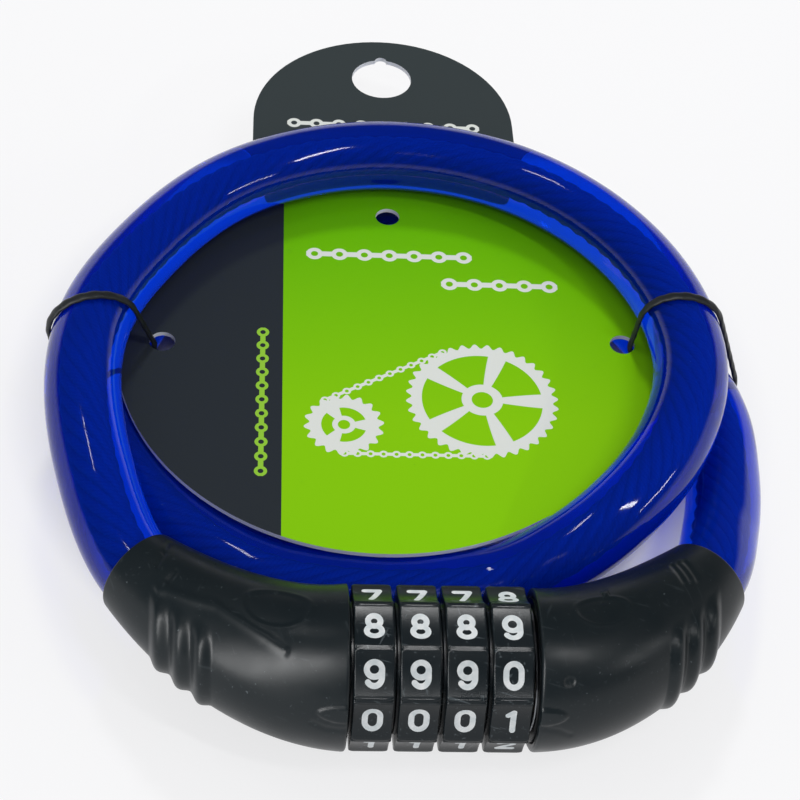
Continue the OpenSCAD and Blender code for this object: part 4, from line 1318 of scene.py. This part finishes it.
is_green = calc(
    tree, "MULTIPLY", spread(tree, split[0], *GREEN_FROM_X), spread(tree, split[1], *GREEN_TO_Y)
)
# The green darkens from the front towards the back, under the cable's high turn: painted shade
# of the cable's shadow.
green_with_painted_shade = blend_colour(
    tree, spread(tree, split[1], -20 * MM, 28 * MM), linear(137, 207, 0), linear(104, 188, 0)
)
charcoals = blend_colour(
    tree, spread(tree, split[1], 30 * MM, 45 * MM), linear(44, 50, 56), linear(58, 66, 68)
)
ground = blend_colour(tree, is_green, charcoals, green_with_painted_shade)
ground = blend_colour(tree, green_row, ground, linear(150, 205, 60))
all_white = calc(tree, "MAXIMUM", white, header_row)
ground = blend_colour(tree, all_white, ground, linear(228, 232, 226))
upwards = add(tree, "ShaderNodeSeparateXYZ", {0: place["Normal"]}).outputs[2]
on_edge = spread(tree, calc(tree, "ABSOLUTE", upwards), 0.6, 0.5)
paper = noise(tree, spot, 2500.0, 3.0)
back = spread(tree, upwards, -0.5, -0.6)
ground = blend_colour(tree, back, ground, linear(196, 190, 178))
ground = blend_colour(tree, on_edge, ground, linear(236, 240, 246))
tree.links.new(ground, shader.inputs["Base Color"])
bump(tree, shader, paper, 0.012 * MM)
card = frame["nodes"]["display_card"]
card.data.materials.clear()
card.data.materials.append(printed_card)
print("card print:", len(white_masks), "white shapes")

# %% [markdown]
# ## Floor and light
#
# A product table is a plain pale floor. Away from the object the rays that show it, also
# in metal and through glass, see it whitened, so that the object's shadow stays but is
# faint out there. Narrow softboxes leave the crisp white streaks on the wet-looking
# plastic, and a lamp from behind, which isn't mirrored, throws the cable's shadow
# forward onto the card. A low front softbox is linked to the black pieces alone and
# draws the satin band on them, and one above is linked to the dials for the shine in
# their hollow flats. The same rays that see the whitened floor see the world as a
# studio: white walls low down and a dark ceiling above them, which keeps the tops of
# the glossy pieces deep in colour. All other rays get one even fill from the world.

# %% Floor
def shows_background(tree):
    """1 for a ray from the camera, off a glossy surface or through glass, else 0."""
    rays = add(tree, "ShaderNodeLightPath").outputs
    return calc(tree, "MAXIMUM", rays["Is Camera Ray"], calc(
        tree, "MAXIMUM", rays["Is Glossy Ray"], rays["Is Transmission Ray"]))


FLOOR_SIZE, FLOOR_BELOW = 6, 0.02 * MM
bpy.ops.mesh.primitive_plane_add(size=FLOOR_SIZE, location=(0, 0, -FLOOR_BELOW))
floor = bpy.context.object
floor.name = "floor"
floor_paint, tree, shader, place = new_material(
    "floor_paint", Base_Color=linear(251, 251, 253), Roughness=0.9, Specular_IOR_Level=0.0,
)
FLOOR_WHITENED, WHITE_FROM, WHITE_TO = 0.75, 50 * MM, 66 * MM
out_there = spread(
    tree, vector_calc(tree, "LENGTH", place["Object"], out=1), WHITE_FROM, WHITE_TO
)
seen = shows_background(tree)
white_paint = add(tree, "ShaderNodeEmission", {"Color": linear(252, 252, 253)})
both = add(tree, "ShaderNodeMixShader", {
    0: calc(tree, "MULTIPLY", seen, calc(tree, "MULTIPLY", out_there, FLOOR_WHITENED)),
    1: shader.outputs[0], 2: white_paint.outputs[0],
})
tree.links.new(both.outputs[0], tree.nodes["Material Output"].inputs["Surface"])
floor.data.materials.append(floor_paint)
print("floor size in m:", FLOOR_SIZE)

# %% Lamps and world
# The wall's top and the ceiling's start are the upward part of a ray's direction
AIM = np.array([0, -10, 12]) * MM
WALL_TOP, CEILING_FROM, CEILING_LIGHT, FILL_LIGHT = 0.12, 0.28, 0.04, 0.43


def softbox(name, place, long_way, long, short, radiance):
    """An oblong lamp that looks at the lock; its power is radiance x pi x area."""
    lamp = bpy.data.lights.new(name, "AREA")
    lamp.shape = "RECTANGLE"
    lamp.size, lamp.size_y = long, short
    lamp.energy = radiance * math.pi * long * short
    holder = bpy.data.objects.new(name, lamp)
    place = np.array(place) * MM
    back = unit(place - AIM)
    side = unit(np.array(long_way) - back * (back @ long_way))
    turned = np.eye(4)
    turned[:3, :4] = np.column_stack([side, np.cross(back, side), back, place])
    holder.matrix_world = Matrix(turned.tolist())
    scene.collection.objects.link(holder)
    return holder


softbox("softbox_right", (303, -228, 712), (0.88, -0.46, 0), 0.27, 0.04, 28)
softbox("softbox_low", (645, -255, 400), (0.45, 0.89, 0), 0.3, 0.03, 18)
softbox("softbox_left", (-203, 135, 785), (0, 1, 0), 0.14, 0.03, 14)
softbox("softbox_front", (-60, -500, 665), (1, 0, 0), 0.2, 0.09, 9).visible_glossy = False
satin_lamp = softbox("softbox_for_blacks", (-480, -560, 540), (0.6, 0.2, 0.8), 0.95, 0.2, 17)
blacks = bpy.data.collections.new("black_pieces")
for piece in (left_sleeve, right_sleeve, left_tie, right_tie, *dials):
    blacks.objects.link(piece)
satin_lamp.light_linking.receiver_collection = blacks
top_lamp = softbox("softbox_for_dials", (20, -80, 700), (1, 0, 0), 0.3, 0.14, 26)
only_dials = bpy.data.collections.new("dial_pieces")
for piece in dials:
    only_dials.objects.link(piece)
top_lamp.light_linking.receiver_collection = only_dials
lamp_behind = softbox("lamp_behind", (0, 550, 715), (1, 0, 0), 0.12, 0.12, 50)
lamp_behind.visible_glossy = False
lamp_behind.visible_transmission = False

world = bpy.data.worlds.new("studio")
world.use_nodes = True
scene.world = world
tree = world.node_tree
background = tree.nodes["Background"]
seen = shows_background(tree)
way = add(tree, "ShaderNodeTexCoord").outputs["Generated"]
rise = add(tree, "ShaderNodeSeparateXYZ", {0: way}).outputs[2]
studio = spread(tree, rise, WALL_TOP, CEILING_FROM, 1, CEILING_LIGHT)
both = add(tree, "ShaderNodeMix", {0: seen, 2: FILL_LIGHT, 3: studio})
tree.links.new(both.outputs[0], background.inputs["Strength"])
background.inputs["Color"].default_value = (1, 1, 1, 1)
